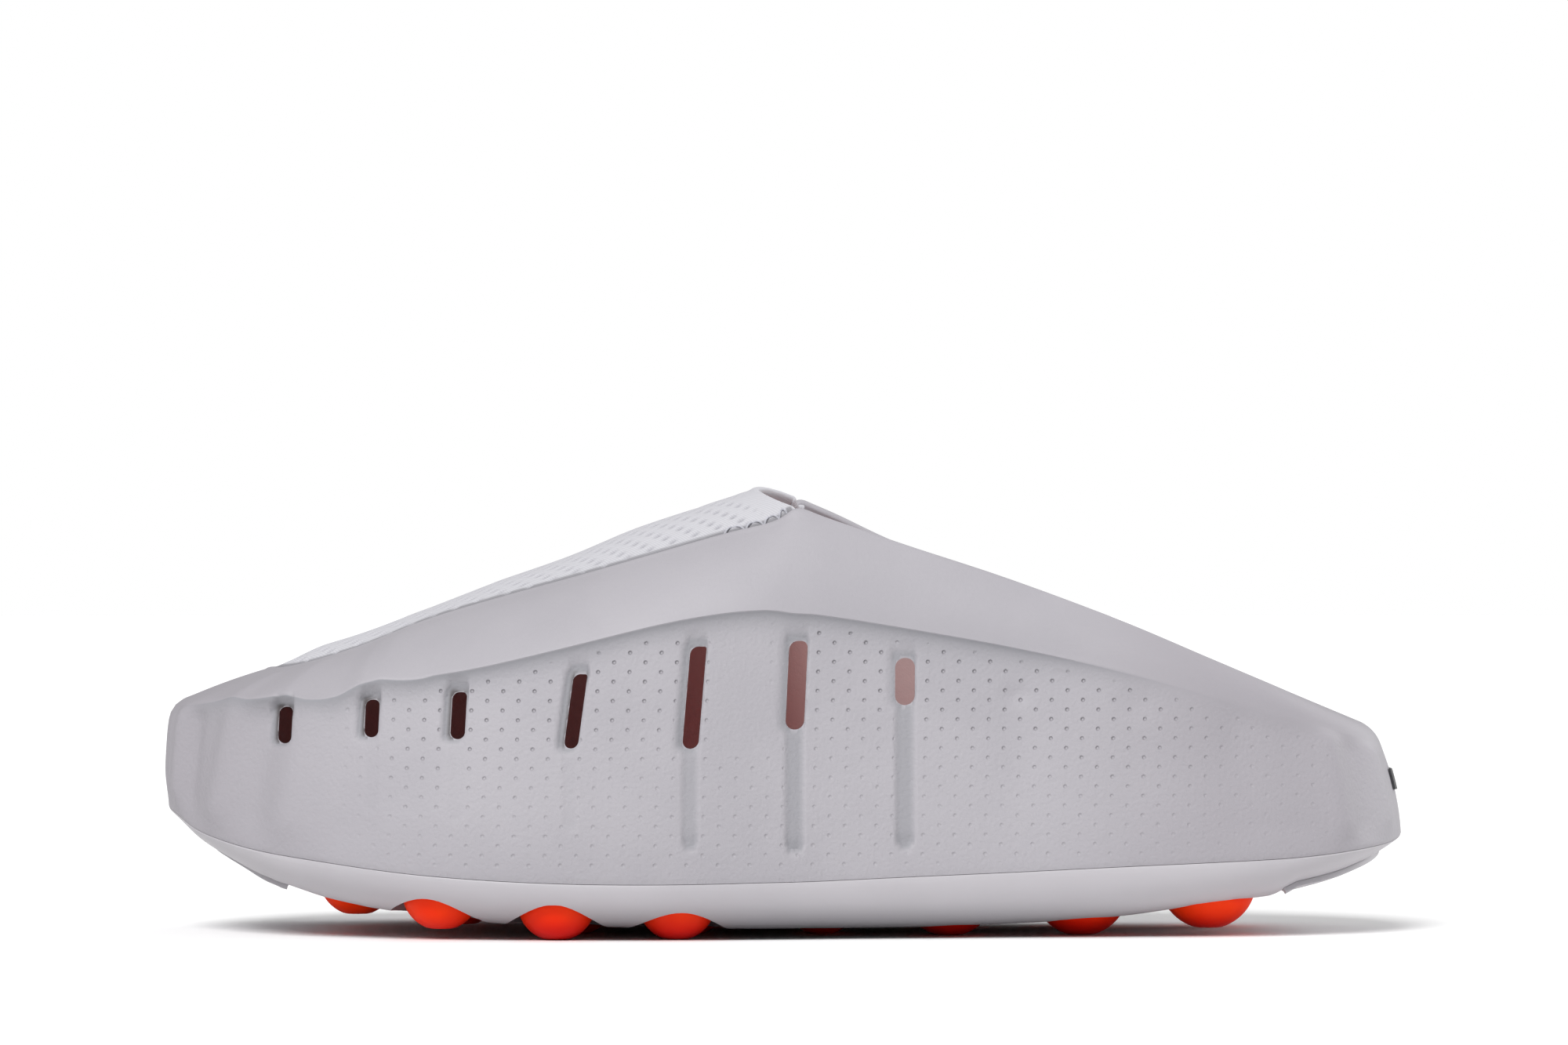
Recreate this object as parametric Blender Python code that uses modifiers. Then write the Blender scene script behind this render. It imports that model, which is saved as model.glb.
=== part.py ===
# Sneaker mule for the left foot: moulded foam cage, knitted vamp, footbed, sole and studs
# Toe at -X, heel at +X, outer (lateral) side at -Y, floor at Z = 0, all in metres

import math
from collections import namedtuple

import bmesh
import bpy
from mathutils import Vector

# Driving sizes of the shoe
LENGTH = 0.300
BALL_WIDTH = 0.110
INSTEP_HEIGHT = 0.1042
HEEL_HEIGHT = 0.0517
PARTING_HEIGHT = 0.0136
TOE_SPRING = 0.0162

# Walls and clearances
WALL = 0.0042
RIM_WALL = 0.0022
FIT = 0.0003
FOOTBED_GAP = 0.0006

# Relief of the cage
STEP = 0.0013
GROOVE_DEPTH = 0.0012
GROOVE_WIDTH = 0.0056
SLOT_WIDTH = 0.0036

# Sole, footbed and vamp
SOLE_TUCK = 0.013
SOLE_CLEARANCE = 0.0024
SOLE_LIFT = 0.0268
PLATFORM_RISE = 0.0015
FOOTBED_THICKNESS = 0.0040
FOOTBED_DISH = 0.0012
VAMP_THICKNESS = 0.0022
VAMP_RISE = 0.0090
VAMP_BOW = 0.0107
VAMP_FOLD = 0.0008
PAD_THICKNESS = 0.0009

# Studs: a small size for the forefoot and a large one for the heel
SMALL_STUD = 0.0094
LARGE_STUD = 0.0117
STUD_TREAD = 0.0028
SMALL_CUP_GAP = 0.0026
LARGE_CUP_GAP = 0.0018

# Badge on the back of the heel
BADGE_WIDTH = 0.016
BADGE_HEIGHT = 0.0055
BADGE_THICKNESS = 0.0008
BADGE_CENTRE = 0.0372

HALF_WIDTH = BALL_WIDTH / 2
COLLAR_DROP = INSTEP_HEIGHT - HEEL_HEIGHT

# Cage stations from the toe tip to the heel tip.
# base_x, rim_x: shares of LENGTH from its middle
# outer, inner, rim_outer, rim_inner: parting line and rim to each side, shares of HALF_WIDTH
# lift: height of the parting line, share of TOE_SPRING
# rise: height of the rim over the heel's rim, share of COLLAR_DROP
# ridge_in, ridge_up: place of the ridge between parting line and rim
# bulge, crown: swell of the lower panel and of the upper band, shares of HALF_WIDTH
# step: how much of STEP the lower panel lies back under the ridge
Station = namedtuple(
    "Station",
    "base_x outer inner lift rim_x rim_outer rim_inner rise ridge_in ridge_up bulge crown step",
)
STATIONS = [
    Station(-0.500, 0.11, 0.11, 1.000, -0.417, 0.04, 0.04, 0.246, 0.05, 0.750, 0.009, 0.009, 0.0),
    Station(-0.490, -0.15, 0.38, 0.926, -0.413, -0.08, 0.15, 0.246, 0.06, 0.767, 0.011, 0.009, 0.1),
    Station(-0.467, -0.35, 0.59, 0.679, -0.402, -0.19, 0.25, 0.251, 0.08, 0.794, 0.016, 0.013, 0.6),
    Station(-0.423, -0.60, 0.78, 0.463, -0.375, -0.28, 0.33, 0.288, 0.12, 0.786, 0.029, 0.020, 1.0),
    Station(-0.367, -0.77, 0.89, 0.309, -0.337, -0.36, 0.40, 0.358, 0.17, 0.744, 0.044, 0.029, 1.0),
    Station(-0.300, -0.90, 0.96, 0.154, -0.285, -0.41, 0.44, 0.476, 0.20, 0.744, 0.055, 0.038, 1.0),
    Station(-0.233, -0.97, 0.99, 0.062, -0.225, -0.45, 0.46, 0.579, 0.21, 0.753, 0.060, 0.042, 1.0),
    Station(-0.167, -0.99, 0.97, 0.012, -0.163, -0.50, 0.49, 0.676, 0.22, 0.767, 0.060, 0.042, 1.0),
    Station(-0.103, -0.98, 0.91, 0.000, -0.100, -0.53, 0.51, 0.779, 0.23, 0.775, 0.056, 0.040, 1.0),
    Station(-0.053, -0.95, 0.85, 0.009, -0.047, -0.55, 0.52, 0.865, 0.26, 0.766, 0.051, 0.036, 1.0),
    Station(-0.017, -0.92, 0.80, 0.022, -0.007, -0.56, 0.52, 0.922, 0.29, 0.749, 0.048, 0.035, 1.0),
    Station(0.013, -0.89, 0.77, 0.031, 0.012, -0.56, 0.53, 1.000, 0.31, 0.705, 0.047, 0.036, 1.0),
    Station(0.043, -0.86, 0.74, 0.049, 0.035, -0.57, 0.53, 0.943, 0.33, 0.719, 0.045, 0.033, 1.0),
    Station(0.103, -0.82, 0.70, 0.096, 0.100, -0.59, 0.55, 0.810, 0.38, 0.742, 0.040, 0.025, 1.0),
    Station(0.183, -0.77, 0.68, 0.154, 0.183, -0.61, 0.56, 0.644, 0.41, 0.769, 0.036, 0.020, 1.0),
    Station(0.267, -0.75, 0.69, 0.228, 0.267, -0.60, 0.56, 0.470, 0.43, 0.797, 0.035, 0.018, 1.0),
    Station(0.343, -0.73, 0.69, 0.290, 0.337, -0.56, 0.54, 0.301, 0.46, 0.821, 0.033, 0.018, 0.7),
    Station(0.407, -0.65, 0.64, 0.346, 0.390, -0.50, 0.48, 0.175, 0.49, 0.818, 0.029, 0.018, 0.3),
    Station(0.453, -0.52, 0.51, 0.432, 0.432, -0.35, 0.35, 0.078, 0.49, 0.821, 0.024, 0.016, 0.0),
    Station(0.487, -0.28, 0.28, 0.525, 0.460, -0.17, 0.17, 0.017, 0.48, 0.790, 0.018, 0.015, 0.0),
    Station(0.500, 0.00, 0.00, 0.617, 0.468, 0.00, 0.00, 0.000, 0.48, 0.747, 0.016, 0.015, 0.0),
]
HEEL = len(STATIONS) - 1
RING = 2 * HEEL
PEAK = 11

# Underside of the sole: place along LENGTH from its middle, height as a share of SOLE_LIFT
Underside = namedtuple("Underside", "x lift")
UNDERSIDE = [
    Underside(-0.500, 1.000),
    Underside(-0.483, 0.847),
    Underside(-0.463, 0.716),
    Underside(-0.443, 0.620),
    Underside(-0.427, 0.530),
    Underside(-0.410, 0.430),
    Underside(-0.397, 0.373),
    Underside(-0.363, 0.261),
    Underside(-0.327, 0.179),
    Underside(-0.273, 0.104),
    Underside(-0.223, 0.052),
    Underside(-0.123, 0.019),
    Underside(0.000, 0.000),
    Underside(0.100, 0.004),
    Underside(0.203, 0.041),
    Underside(0.270, 0.097),
    Underside(0.350, 0.220),
    Underside(0.387, 0.269),
    Underside(0.400, 0.354),
    Underside(0.430, 0.437),
    Underside(0.453, 0.534),
    Underside(0.478, 0.642),
    Underside(0.500, 0.761),
]

# Pads under the toe and the heel: the ring place at their middle, how many stations
# they reach to each side, how far they lie inside the parting line (share of SOLE_TUCK)
Pad = namedtuple("Pad", "name middle reach inset")
PADS = [
    Pad("toe_pad", 0, 3.1, 0.85),
    Pad("heel_pad", HEEL, 3.05, 0.45),
]

# Vamp over the throat, a row for each cage station from the toe to the instep peak
# rise: crown over the throat seam, share of VAMP_RISE
# bow: how far the middle lies towards the toe, share of VAMP_BOW
Crown = namedtuple("Crown", "rise bow")
CROWNS = [
    Crown(0.00, 0.00),
    Crown(0.13, 0.00),
    Crown(0.31, 0.00),
    Crown(0.51, 0.02),
    Crown(0.53, 0.05),
    Crown(0.52, 0.10),
    Crown(0.62, 0.19),
    Crown(0.76, 0.33),
    Crown(0.98, 0.51),
    Crown(1.00, 0.70),
    Crown(0.96, 0.86),
    Crown(0.63, 1.00),
]

# Slots through the lower panel of the outer side and the grooves they lie in
# x: share of LENGTH from its middle; top, foot, groove_foot: shares of INSTEP_HEIGHT
# width: share of SLOT_WIDTH; lean: shift of the top towards the heel, share of SLOT_WIDTH
Slot = namedtuple("Slot", "x top foot width lean groove_top groove_foot")
SLOTS = [
    Slot(-0.397, 0.529, 0.445, 0.95, 0.00, 0.555, 0.410),
    Slot(-0.325, 0.547, 0.462, 1.00, 0.00, 0.585, 0.425),
    Slot(-0.256, 0.565, 0.459, 1.00, 0.10, 0.620, 0.420),
    Slot(-0.163, 0.605, 0.438, 1.10, 0.55, 0.675, 0.400),
    Slot(-0.070, 0.667, 0.438, 1.05, 0.60, 0.735, 0.205),
    Slot(0.011, 0.681, 0.480, 1.25, 0.30, 0.740, 0.200),
    Slot(0.096, 0.640, 0.535, 1.40, 0.00, 0.700, 0.210),
]
OUTER_SIDE = -1
INNER_SIDE = 1

# Studs: x as a share of LENGTH from its middle, y as a share of HALF_WIDTH,
# lift: height of the tread as a share of SOLE_LIFT, large: stud size
Stud = namedtuple("Stud", "x y lift large")
STUDS = [
    Stud(-0.343, -0.236, 0.175, False),
    Stud(-0.333, 0.273, 0.175, False),
    Stud(-0.272, -0.673, 0.090, False),
    Stud(-0.258, -0.200, 0.080, False),
    Stud(-0.250, 0.264, 0.080, False),
    Stud(-0.263, 0.727, 0.090, False),
    Stud(-0.180, -0.742, 0.0, False),
    Stud(-0.167, -0.264, 0.0, False),
    Stud(-0.163, 0.209, 0.0, False),
    Stud(-0.170, 0.682, 0.0, False),
    Stud(-0.085, -0.700, 0.0, False),
    Stud(-0.075, -0.251, 0.0, False),
    Stud(-0.073, 0.198, 0.0, False),
    Stud(-0.082, 0.645, 0.0, False),
    Stud(0.030, -0.255, 0.0, False),
    Stud(0.030, 0.236, 0.0, False),
    Stud(0.132, -0.364, 0.0, True),
    Stud(0.132, 0.182, 0.0, True),
    Stud(0.238, -0.336, 0.0, True),
    Stud(0.238, 0.264, 0.0, True),
    Stud(0.340, -0.318, 0.060, True),
    Stud(0.340, 0.264, 0.060, True),
]

# Fineness of the solids
COLUMNS_PER_STATION = 2
STUD_STEPS = 12
SAMPLE = 0.02


def clear_scene():
    for thing in list(bpy.data.objects):
        bpy.data.objects.remove(thing)


def collection(name):
    made = bpy.data.collections.new(name)
    bpy.context.scene.collection.children.link(made)
    return made


def finish(name, colour, roughness):
    material = bpy.data.materials.new(name)
    material.use_nodes = True
    shader = material.node_tree.nodes["Principled BSDF"]
    shader.inputs["Base Color"].default_value = (*colour, 1.0)
    shader.inputs["Roughness"].default_value = roughness
    shader.inputs["Metallic"].default_value = 0.0
    material.diffuse_color = (*colour, 1.0)
    return material


def ease(share):
    """Smooth change from 0 to 1 while the share goes from 0 to 1."""
    share = min(max(share, 0.0), 1.0)
    return share * share * (3 - 2 * share)


def mix(first, second, share):
    return first + (second - first) * share


def slope(before, after):
    """Slope at a station that never overshoots its neighbours."""
    if before * after <= 0:
        return 0.0
    size = min(abs(before + after) / 2, 3 * abs(before), 3 * abs(after))
    return math.copysign(size, before)


def curve_between(values, share):
    """Point on a smooth curve between the middle two of four values."""
    before, first, second, after = values
    start = slope(first - before, second - first)
    end = slope(second - first, after - second)
    square = share * share
    cube = square * share
    return (
        first * (2 * cube - 3 * square + 1)
        + start * (cube - 2 * square + share)
        + second * (3 * square - 2 * cube)
        + end * (cube - square)
    )


def ring_values(outer, inner):
    """Values of a column right round the shoe: outer side to the heel, inner side back."""
    out = [getattr(station, outer) for station in STATIONS]
    back = [getattr(station, inner) for station in STATIONS]
    return out + back[-2:0:-1]


COLUMNS = {name: ring_values(name, name) for name in Station._fields}
COLUMNS["side"] = ring_values("outer", "inner")
COLUMNS["rim_side"] = ring_values("rim_outer", "rim_inner")


def column(name, place):
    """A column's value at a place on the ring: 0 toe, HEEL heel, then back by the inner side."""
    values = COLUMNS[name]
    first = math.floor(place)
    near = [values[(first + step) % RING] for step in (-1, 0, 1, 2)]
    return curve_between(near, place - first)


def base(place):
    """Parting line between cage and sole."""
    return Vector((
        column("base_x", place) * LENGTH,
        column("side", place) * HALF_WIDTH,
        PARTING_HEIGHT + column("lift", place) * TOE_SPRING,
    ))


def rim(place):
    """Upper edge of the cage: throat seam, then collar."""
    return Vector((
        column("rim_x", place) * LENGTH,
        column("rim_side", place) * HALF_WIDTH,
        HEEL_HEIGHT + column("rise", place) * COLLAR_DROP,
    ))


def outward(place):
    """Level direction out of the shoe at the parting line."""
    along = base(place + SAMPLE) - base(place - SAMPLE)
    return Vector((along.y, -along.x, 0.0)).normalized()


def form(place, height):
    """Cage surface without relief: height 0 parting line, 1 ridge, 2 rim."""
    low = base(place)
    top = rim(place)
    out = outward(place)
    ridge = low.lerp(top, column("ridge_in", place))
    ridge.z = mix(low.z, top.z, column("ridge_up", place))
    if height <= 1:
        swell = column("bulge", place) * HALF_WIDTH * 4 * height * (1 - height)
        return low.lerp(ridge, height) + out * swell
    share = height - 1
    across = top - ridge
    away = Vector((0.0, 0.0, across.xy.length)) + out * across.z
    swell = column("crown", place) * HALF_WIDTH * 4 * share * (1 - share)
    return ridge.lerp(top, share) + away.normalized() * swell


def wall(place, height, depth):
    """Point at a depth under the cage's outer form."""
    along = form(place + SAMPLE, height) - form(place - SAMPLE, height)
    up = form(place, min(height + SAMPLE, 2.0)) - form(place, max(height - SAMPLE, 0.0))
    return form(place, height) - along.cross(up).normalized() * depth


def thickness(height):
    return mix(WALL, RIM_WALL, ease(height - 1))


def sunk(place, height):
    """Depth of the lower panel under the form, full just under the ridge."""
    return STEP * column("step", place) * ease((height - 0.15) / 0.6)


def underside(x):
    """Height of the sole's underside at a place along the shoe."""
    share = x / LENGTH
    last = len(UNDERSIDE) - 1
    index = 0
    while index < last - 1 and UNDERSIDE[index + 1].x < share:
        index += 1
    near = [UNDERSIDE[min(max(index + step, 0), last)] for step in (-1, 0, 1, 2)]
    span = near[2].x - near[1].x
    part = min(max((share - near[1].x) / span, 0.0), 1.0)
    return SOLE_CLEARANCE + SOLE_LIFT * curve_between([row.lift for row in near], part)


def loft(name, sections, ring=False, loop=True):
    """Mesh through sections of equal count; points that fall together become one."""
    mesh = bmesh.new()
    found = {}

    def vertex(point):
        key = tuple(round(value, 7) for value in point)
        if key not in found:
            found[key] = mesh.verts.new(point)
        return found[key]

    rows = [[vertex(point) for point in section] for section in sections]
    pairs = list(zip(rows, rows[1:]))
    if ring:
        pairs.append((rows[-1], rows[0]))
    for first, second in pairs:
        count = len(first) if loop else len(first) - 1
        for index in range(count):
            after = (index + 1) % len(first)
            corners = [first[index], first[after], second[after], second[index]]
            distinct = list(dict.fromkeys(corners))
            if len(distinct) > 2:
                mesh.faces.new(distinct)
    bmesh.ops.recalc_face_normals(mesh, faces=mesh.faces)
    data = bpy.data.meshes.new(name)
    mesh.to_mesh(data)
    mesh.free()
    return data


def place_object(name, data, home, material=None):
    thing = bpy.data.objects.new(name, data)
    home.objects.link(thing)
    if material is not None:
        data.materials.append(material)
    return thing


def hide_cutter(thing):
    thing.hide_render = True
    thing.display_type = "WIRE"


def cut(thing, cutter, operation="DIFFERENCE"):
    boolean = thing.modifiers.new("cut " + cutter.name, "BOOLEAN")
    boolean.operation = operation
    boolean.solver = "EXACT"
    boolean.object = cutter


def smooth(data, angle=40.0):
    data.shade_smooth()
    data.set_sharp_from_angle(angle=math.radians(angle))


def places(first, last):
    """Places of the mesh columns between two stations."""
    count = (last - first) * COLUMNS_PER_STATION
    return [first + step / COLUMNS_PER_STATION for step in range(count + 1)]


def other_side(place):
    return (RING - place) % RING


RIM_ROW = 2.0
UNDER_RIM_ROW = 1.9
PANEL_ROWS = (0.0, 0.3, 0.65, 0.94)
BAND_ROWS = (1.0, 1.3, 1.65, RIM_ROW)
LINING_ROWS = (1.8, 1.45, 1.0, 0.55, 0.25)
VAMP_MARGIN = 1.8


def cage_section(place):
    """Closed outline of the cage wall: up the outside, over the rim, down the inside."""
    outside = [wall(place, height, sunk(place, height)) for height in PANEL_ROWS]
    outside += [wall(place, height, 0.0) for height in BAND_ROWS]
    outer_rim = outside[-1]
    inner_rim = wall(place, RIM_ROW, RIM_WALL)
    onward = (outer_rim - wall(place, UNDER_RIM_ROW, 0.0)).normalized()
    lip = (outer_rim + inner_rim) / 2 + onward * RIM_WALL * 0.3
    inside = [wall(place, height, thickness(height)) for height in LINING_ROWS]
    foot = wall(place, 0.0, WALL)
    foot.z = outside[0].z
    return outside + [lip, inner_rim] + inside + [foot]


def grooved_core():
    """The cage's outer form sunk by the groove depth, closed above and below."""
    sections = []
    for place in places(0, HEEL):
        outer = [
            wall(place, height, sunk(place, height) + GROOVE_DEPTH)
            for height in PANEL_ROWS + BAND_ROWS
        ]
        inner = [
            wall(other_side(place), height, sunk(place, height) + GROOVE_DEPTH)
            for height in PANEL_ROWS + BAND_ROWS
        ]
        sections.append(outer + inner[::-1])
    return loft("groove core", sections)


def inner_slots():
    """Slots of the inner side: each stands half-way between two of the outer side."""
    pairs = zip(SLOTS, SLOTS[1:])
    return [Slot(*[mix(one, other, 0.5) for one, other in zip(*pair)]) for pair in pairs]


def slot_prisms(name, outlines):
    """Upright round-ended prisms from the middle of the shoe out through one side."""
    mesh = bmesh.new()
    reach = BALL_WIDTH * 0.75
    turn_points = 5
    for side, x, foot, top, width, lean in outlines:
        radius = width / 2
        ring = []
        for centre, shift, start in ((top - radius, lean, 0.0), (foot + radius, 0.0, math.pi)):
            for step in range(turn_points):
                angle = start + math.pi * step / (turn_points - 1)
                ring.append((x + shift + radius * math.cos(angle), centre + radius * math.sin(angle)))
        face = mesh.faces.new([mesh.verts.new((across, 0.0, up)) for across, up in ring])
        raised = bmesh.ops.extrude_face_region(mesh, geom=[face])
        moved = [item for item in raised["geom"] if isinstance(item, bmesh.types.BMVert)]
        bmesh.ops.translate(mesh, verts=moved, vec=(0.0, side * reach, 0.0))
    bmesh.ops.recalc_face_normals(mesh, faces=mesh.faces)
    data = bpy.data.meshes.new(name)
    mesh.to_mesh(data)
    mesh.free()
    return data


def make_cage(parts, cutters):
    rings = [step / COLUMNS_PER_STATION for step in range(RING * COLUMNS_PER_STATION)]
    data = loft("upper", [cage_section(place) for place in rings], ring=True)
    material = finish("cage foam", (0.58, 0.56, 0.60), 0.62)
    cage = place_object("upper", data, parts, material)
    core = place_object("groove core", grooved_core(), cutters)
    slots = []
    grooves = []
    sided = [(OUTER_SIDE, slot) for slot in SLOTS]
    sided += [(INNER_SIDE, slot) for slot in inner_slots()]
    for side, slot in sided:
        x = slot.x * LENGTH
        lean = slot.lean * SLOT_WIDTH
        width = slot.width * SLOT_WIDTH
        wide = width + GROOVE_WIDTH - SLOT_WIDTH
        heights = (slot.foot * INSTEP_HEIGHT, slot.top * INSTEP_HEIGHT)
        slots.append((side, x, *heights, width, lean))
        heights = (slot.groove_foot * INSTEP_HEIGHT, slot.groove_top * INSTEP_HEIGHT)
        grooves.append((side, x, *heights, wide, lean))
    groove_cutter = place_object("groove cutter", slot_prisms("groove cutter", grooves), cutters)
    slot_cutter = place_object("slot cutter", slot_prisms("slot cutter", slots), cutters)
    cut(groove_cutter, core)
    cut(cage, groove_cutter)
    cut(cage, slot_cutter)
    for cutter in (core, groove_cutter, slot_cutter):
        hide_cutter(cutter)
    smooth(data)


def vamp_section(place):
    """Vamp from its outer margin under the cage, over the instep, to its inner margin."""
    under = RIM_WALL + FIT
    margins = []
    for side in (place, other_side(place)):
        hidden = wall(side, VAMP_MARGIN, thickness(VAMP_MARGIN) + FIT)
        margins.append((hidden, wall(side, RIM_ROW, under)))
    (outer_hem, outer_seam), (inner_hem, inner_seam) = margins
    first = math.floor(place)
    last = len(CROWNS) - 1
    near = [CROWNS[min(max(first + step, 0), last)] for step in (-1, 0, 1, 2)]
    rise = curve_between([row.rise for row in near], place - first) * VAMP_RISE
    bow = curve_between([row.bow for row in near], place - first) * VAMP_BOW
    crown = Vector((-bow, 0.0, rise + VAMP_FOLD * ease((place - PEAK + 0.8) / 0.4)))
    section = [outer_hem]
    for across in (-1.0, -0.8, -0.55, -0.28, 0.0, 0.28, 0.55, 0.8, 1.0):
        chord = outer_seam.lerp(inner_seam, (across + 1) / 2)
        section.append(chord + crown * (1 - abs(across) ** 2.2))
    return section + [inner_hem]


def make_vamp(parts):
    data = loft("vamp", [vamp_section(place) for place in places(0, PEAK)], loop=False)
    vamp = place_object("vamp", data, parts, finish("knit", (0.62, 0.62, 0.67), 0.9))
    shell = vamp.modifiers.new("knit thickness", "SOLIDIFY")
    shell.thickness = VAMP_THICKNESS
    shell.offset = -1.0
    shell.use_even_offset = True
    smooth(data)


def inside(place, height):
    """Point beside the cage's inner wall at a height over the floor, clear for the footbed."""
    low = form(place, 0.0).z
    share = (height - low) / (form(place, 1.0).z - low)
    point = wall(place, max(share, 0.0), WALL + FOOTBED_GAP)
    point.z = height
    return point


def platform_height(place):
    return base(place).z + PLATFORM_RISE


def footbed_side(place):
    """Footbed points of one side: lower edge, upper edge, start of the dished middle."""
    low = platform_height(place) + FIT
    top = low + FOOTBED_THICKNESS
    edge = inside(place, top)
    foot = edge.copy()
    foot.z = low
    dish = edge - outward(place) * SOLE_TUCK
    dish.z = top - FOOTBED_DISH
    return [foot, edge, dish]


def make_footbed(parts):
    sections = []
    for place in places(0, HEEL):
        sections.append(footbed_side(place) + footbed_side(other_side(place))[::-1])
    data = loft("insole", sections)
    place_object("insole", data, parts, finish("footbed foam", (0.55, 0.03, 0.05), 0.8))
    smooth(data)


def sole_side(place):
    """Sole points of one side: platform, ledge under the cage, round side, lower edge."""
    out = outward(place)
    low = base(place)
    shelf = low.z - FIT
    foot = low - out * (WALL + FOOTBED_GAP)
    foot.z = shelf
    platform = foot.copy()
    platform.z = platform_height(place)
    edge = low - out * SOLE_TUCK
    edge.z = underside(edge.x)
    roundness = abs(out.y)
    points = [platform, foot]
    for share in (0.0, 0.25, 0.5, 0.75, 1.0):
        angle = share * math.pi / 2
        inward = mix(share, 1 - math.cos(angle), roundness)
        down = mix(share, math.sin(angle), roundness)
        point = low - out * SOLE_TUCK * inward
        point.z = mix(shelf, edge.z, down)
        points.append(point)
    return points


def sole_sections():
    sections = []
    for place in places(0, HEEL):
        outer = sole_side(place)
        inner = sole_side(other_side(place))
        middle = (outer[-1] + inner[-1]) / 2
        middle.z = underside(middle.x)
        sections.append(outer + [middle] + inner[::-1])
    return sections


def pad_prism(pad):
    """Upright prism whose outline follows the shoe's own, straight across the back."""
    mesh = bmesh.new()
    count = 12
    corners = []
    for step in range(count + 1):
        place = pad.middle + pad.reach * (2 * step / count - 1)
        point = base(place) - outward(place) * SOLE_TUCK * pad.inset
        corners.append(mesh.verts.new((point.x, point.y, 0.0)))
    face = mesh.faces.new(corners)
    raised = bmesh.ops.extrude_face_region(mesh, geom=[face])
    moved = [item for item in raised["geom"] if isinstance(item, bmesh.types.BMVert)]
    bmesh.ops.translate(mesh, verts=moved, vec=(0.0, 0.0, INSTEP_HEIGHT))
    bmesh.ops.recalc_face_normals(mesh, faces=mesh.faces)
    data = bpy.data.meshes.new(pad.name + " outline")
    mesh.to_mesh(data)
    mesh.free()
    return data


def make_pads(parts, cutters):
    """Thin pads of the underside's own form, seated on the sole."""
    material = finish("pad rubber", (0.58, 0.56, 0.60), 0.45)
    ledge = 2
    skin = [section[ledge:-ledge] for section in sole_sections()]
    for pad in PADS:
        outline = place_object(pad.name + " outline", pad_prism(pad), cutters)
        hide_cutter(outline)
        data = loft(pad.name, skin, loop=False)
        thing = place_object(pad.name, data, parts, material)
        seat = thing.modifiers.new("seat gap", "DISPLACE")
        seat.strength = FIT
        seat.mid_level = 0.0
        plate = thing.modifiers.new("pad thickness", "SOLIDIFY")
        plate.thickness = PAD_THICKNESS
        plate.offset = 1.0
        cut(thing, outline, "INTERSECT")
        smooth(data)


def stud_radius(stud):
    return LARGE_STUD if stud.large else SMALL_STUD


def stud_height(radius):
    """Height of the dome, whose lowest point is cut off to a flat tread."""
    return math.sqrt(radius * radius - STUD_TREAD * STUD_TREAD)


def stud_place(stud):
    return Vector((stud.x * LENGTH, stud.y * HALF_WIDTH, stud.lift * SOLE_LIFT))


def cup_cutter(name, stud, cutters):
    """Round cup in the underside, from under the floor to the seat of its stud."""
    radius = stud_radius(stud)
    gap = LARGE_CUP_GAP if stud.large else SMALL_CUP_GAP
    seat = stud_place(stud)
    top = seat.z + stud_height(radius) + FIT
    bottom = -PARTING_HEIGHT
    mesh = bmesh.new()
    bmesh.ops.create_cone(
        mesh,
        cap_ends=True,
        segments=STUD_STEPS,
        radius1=radius + gap,
        radius2=radius + gap,
        depth=top - bottom,
    )
    bmesh.ops.translate(mesh, verts=mesh.verts, vec=(seat.x, seat.y, (top + bottom) / 2))
    data = bpy.data.meshes.new(name)
    mesh.to_mesh(data)
    mesh.free()
    cutter = place_object(name, data, cutters)
    hide_cutter(cutter)
    return cutter


def make_sole(parts, cutters):
    data = loft("sole", sole_sections())
    sole = place_object("sole", data, parts, finish("sole foam", (0.60, 0.57, 0.62), 0.5))
    for number, stud in enumerate(STUDS, start=1):
        cut(sole, cup_cutter(f"cup_{number:02d}", stud, cutters))
    smooth(data)


def stud_mesh(name, radius):
    """Half outline of a stud, from its seat down the dome to the flat tread."""
    height = stud_height(radius)
    mesh = bmesh.new()
    last_angle = math.acos(STUD_TREAD / radius)
    arc_points = 5
    outline = [(0.0, height)]
    for step in range(arc_points):
        angle = last_angle * step / (arc_points - 1)
        outline.append((radius * math.cos(angle), height - radius * math.sin(angle)))
    outline.append((0.0, 0.0))
    verts = [mesh.verts.new((across, 0.0, up)) for across, up in outline]
    for first, second in zip(verts, verts[1:]):
        mesh.edges.new((first, second))
    data = bpy.data.meshes.new(name)
    mesh.to_mesh(data)
    mesh.free()
    return data


def make_studs(parts):
    material = finish("stud foam", (0.90, 0.10, 0.02), 0.45)
    meshes = {
        False: stud_mesh("small stud", SMALL_STUD),
        True: stud_mesh("large stud", LARGE_STUD),
    }
    for data in meshes.values():
        data.materials.append(material)
    for number, stud in enumerate(STUDS, start=1):
        thing = place_object(f"stud_{number:02d}", meshes[stud.large], parts)
        thing.location = stud_place(stud)
        turned = thing.modifiers.new("turned", "SCREW")
        turned.axis = "Z"
        turned.angle = math.tau
        turned.steps = STUD_STEPS
        turned.render_steps = STUD_STEPS
        turned.use_merge_vertices = True
        turned.merge_threshold = 0.00001


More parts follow.
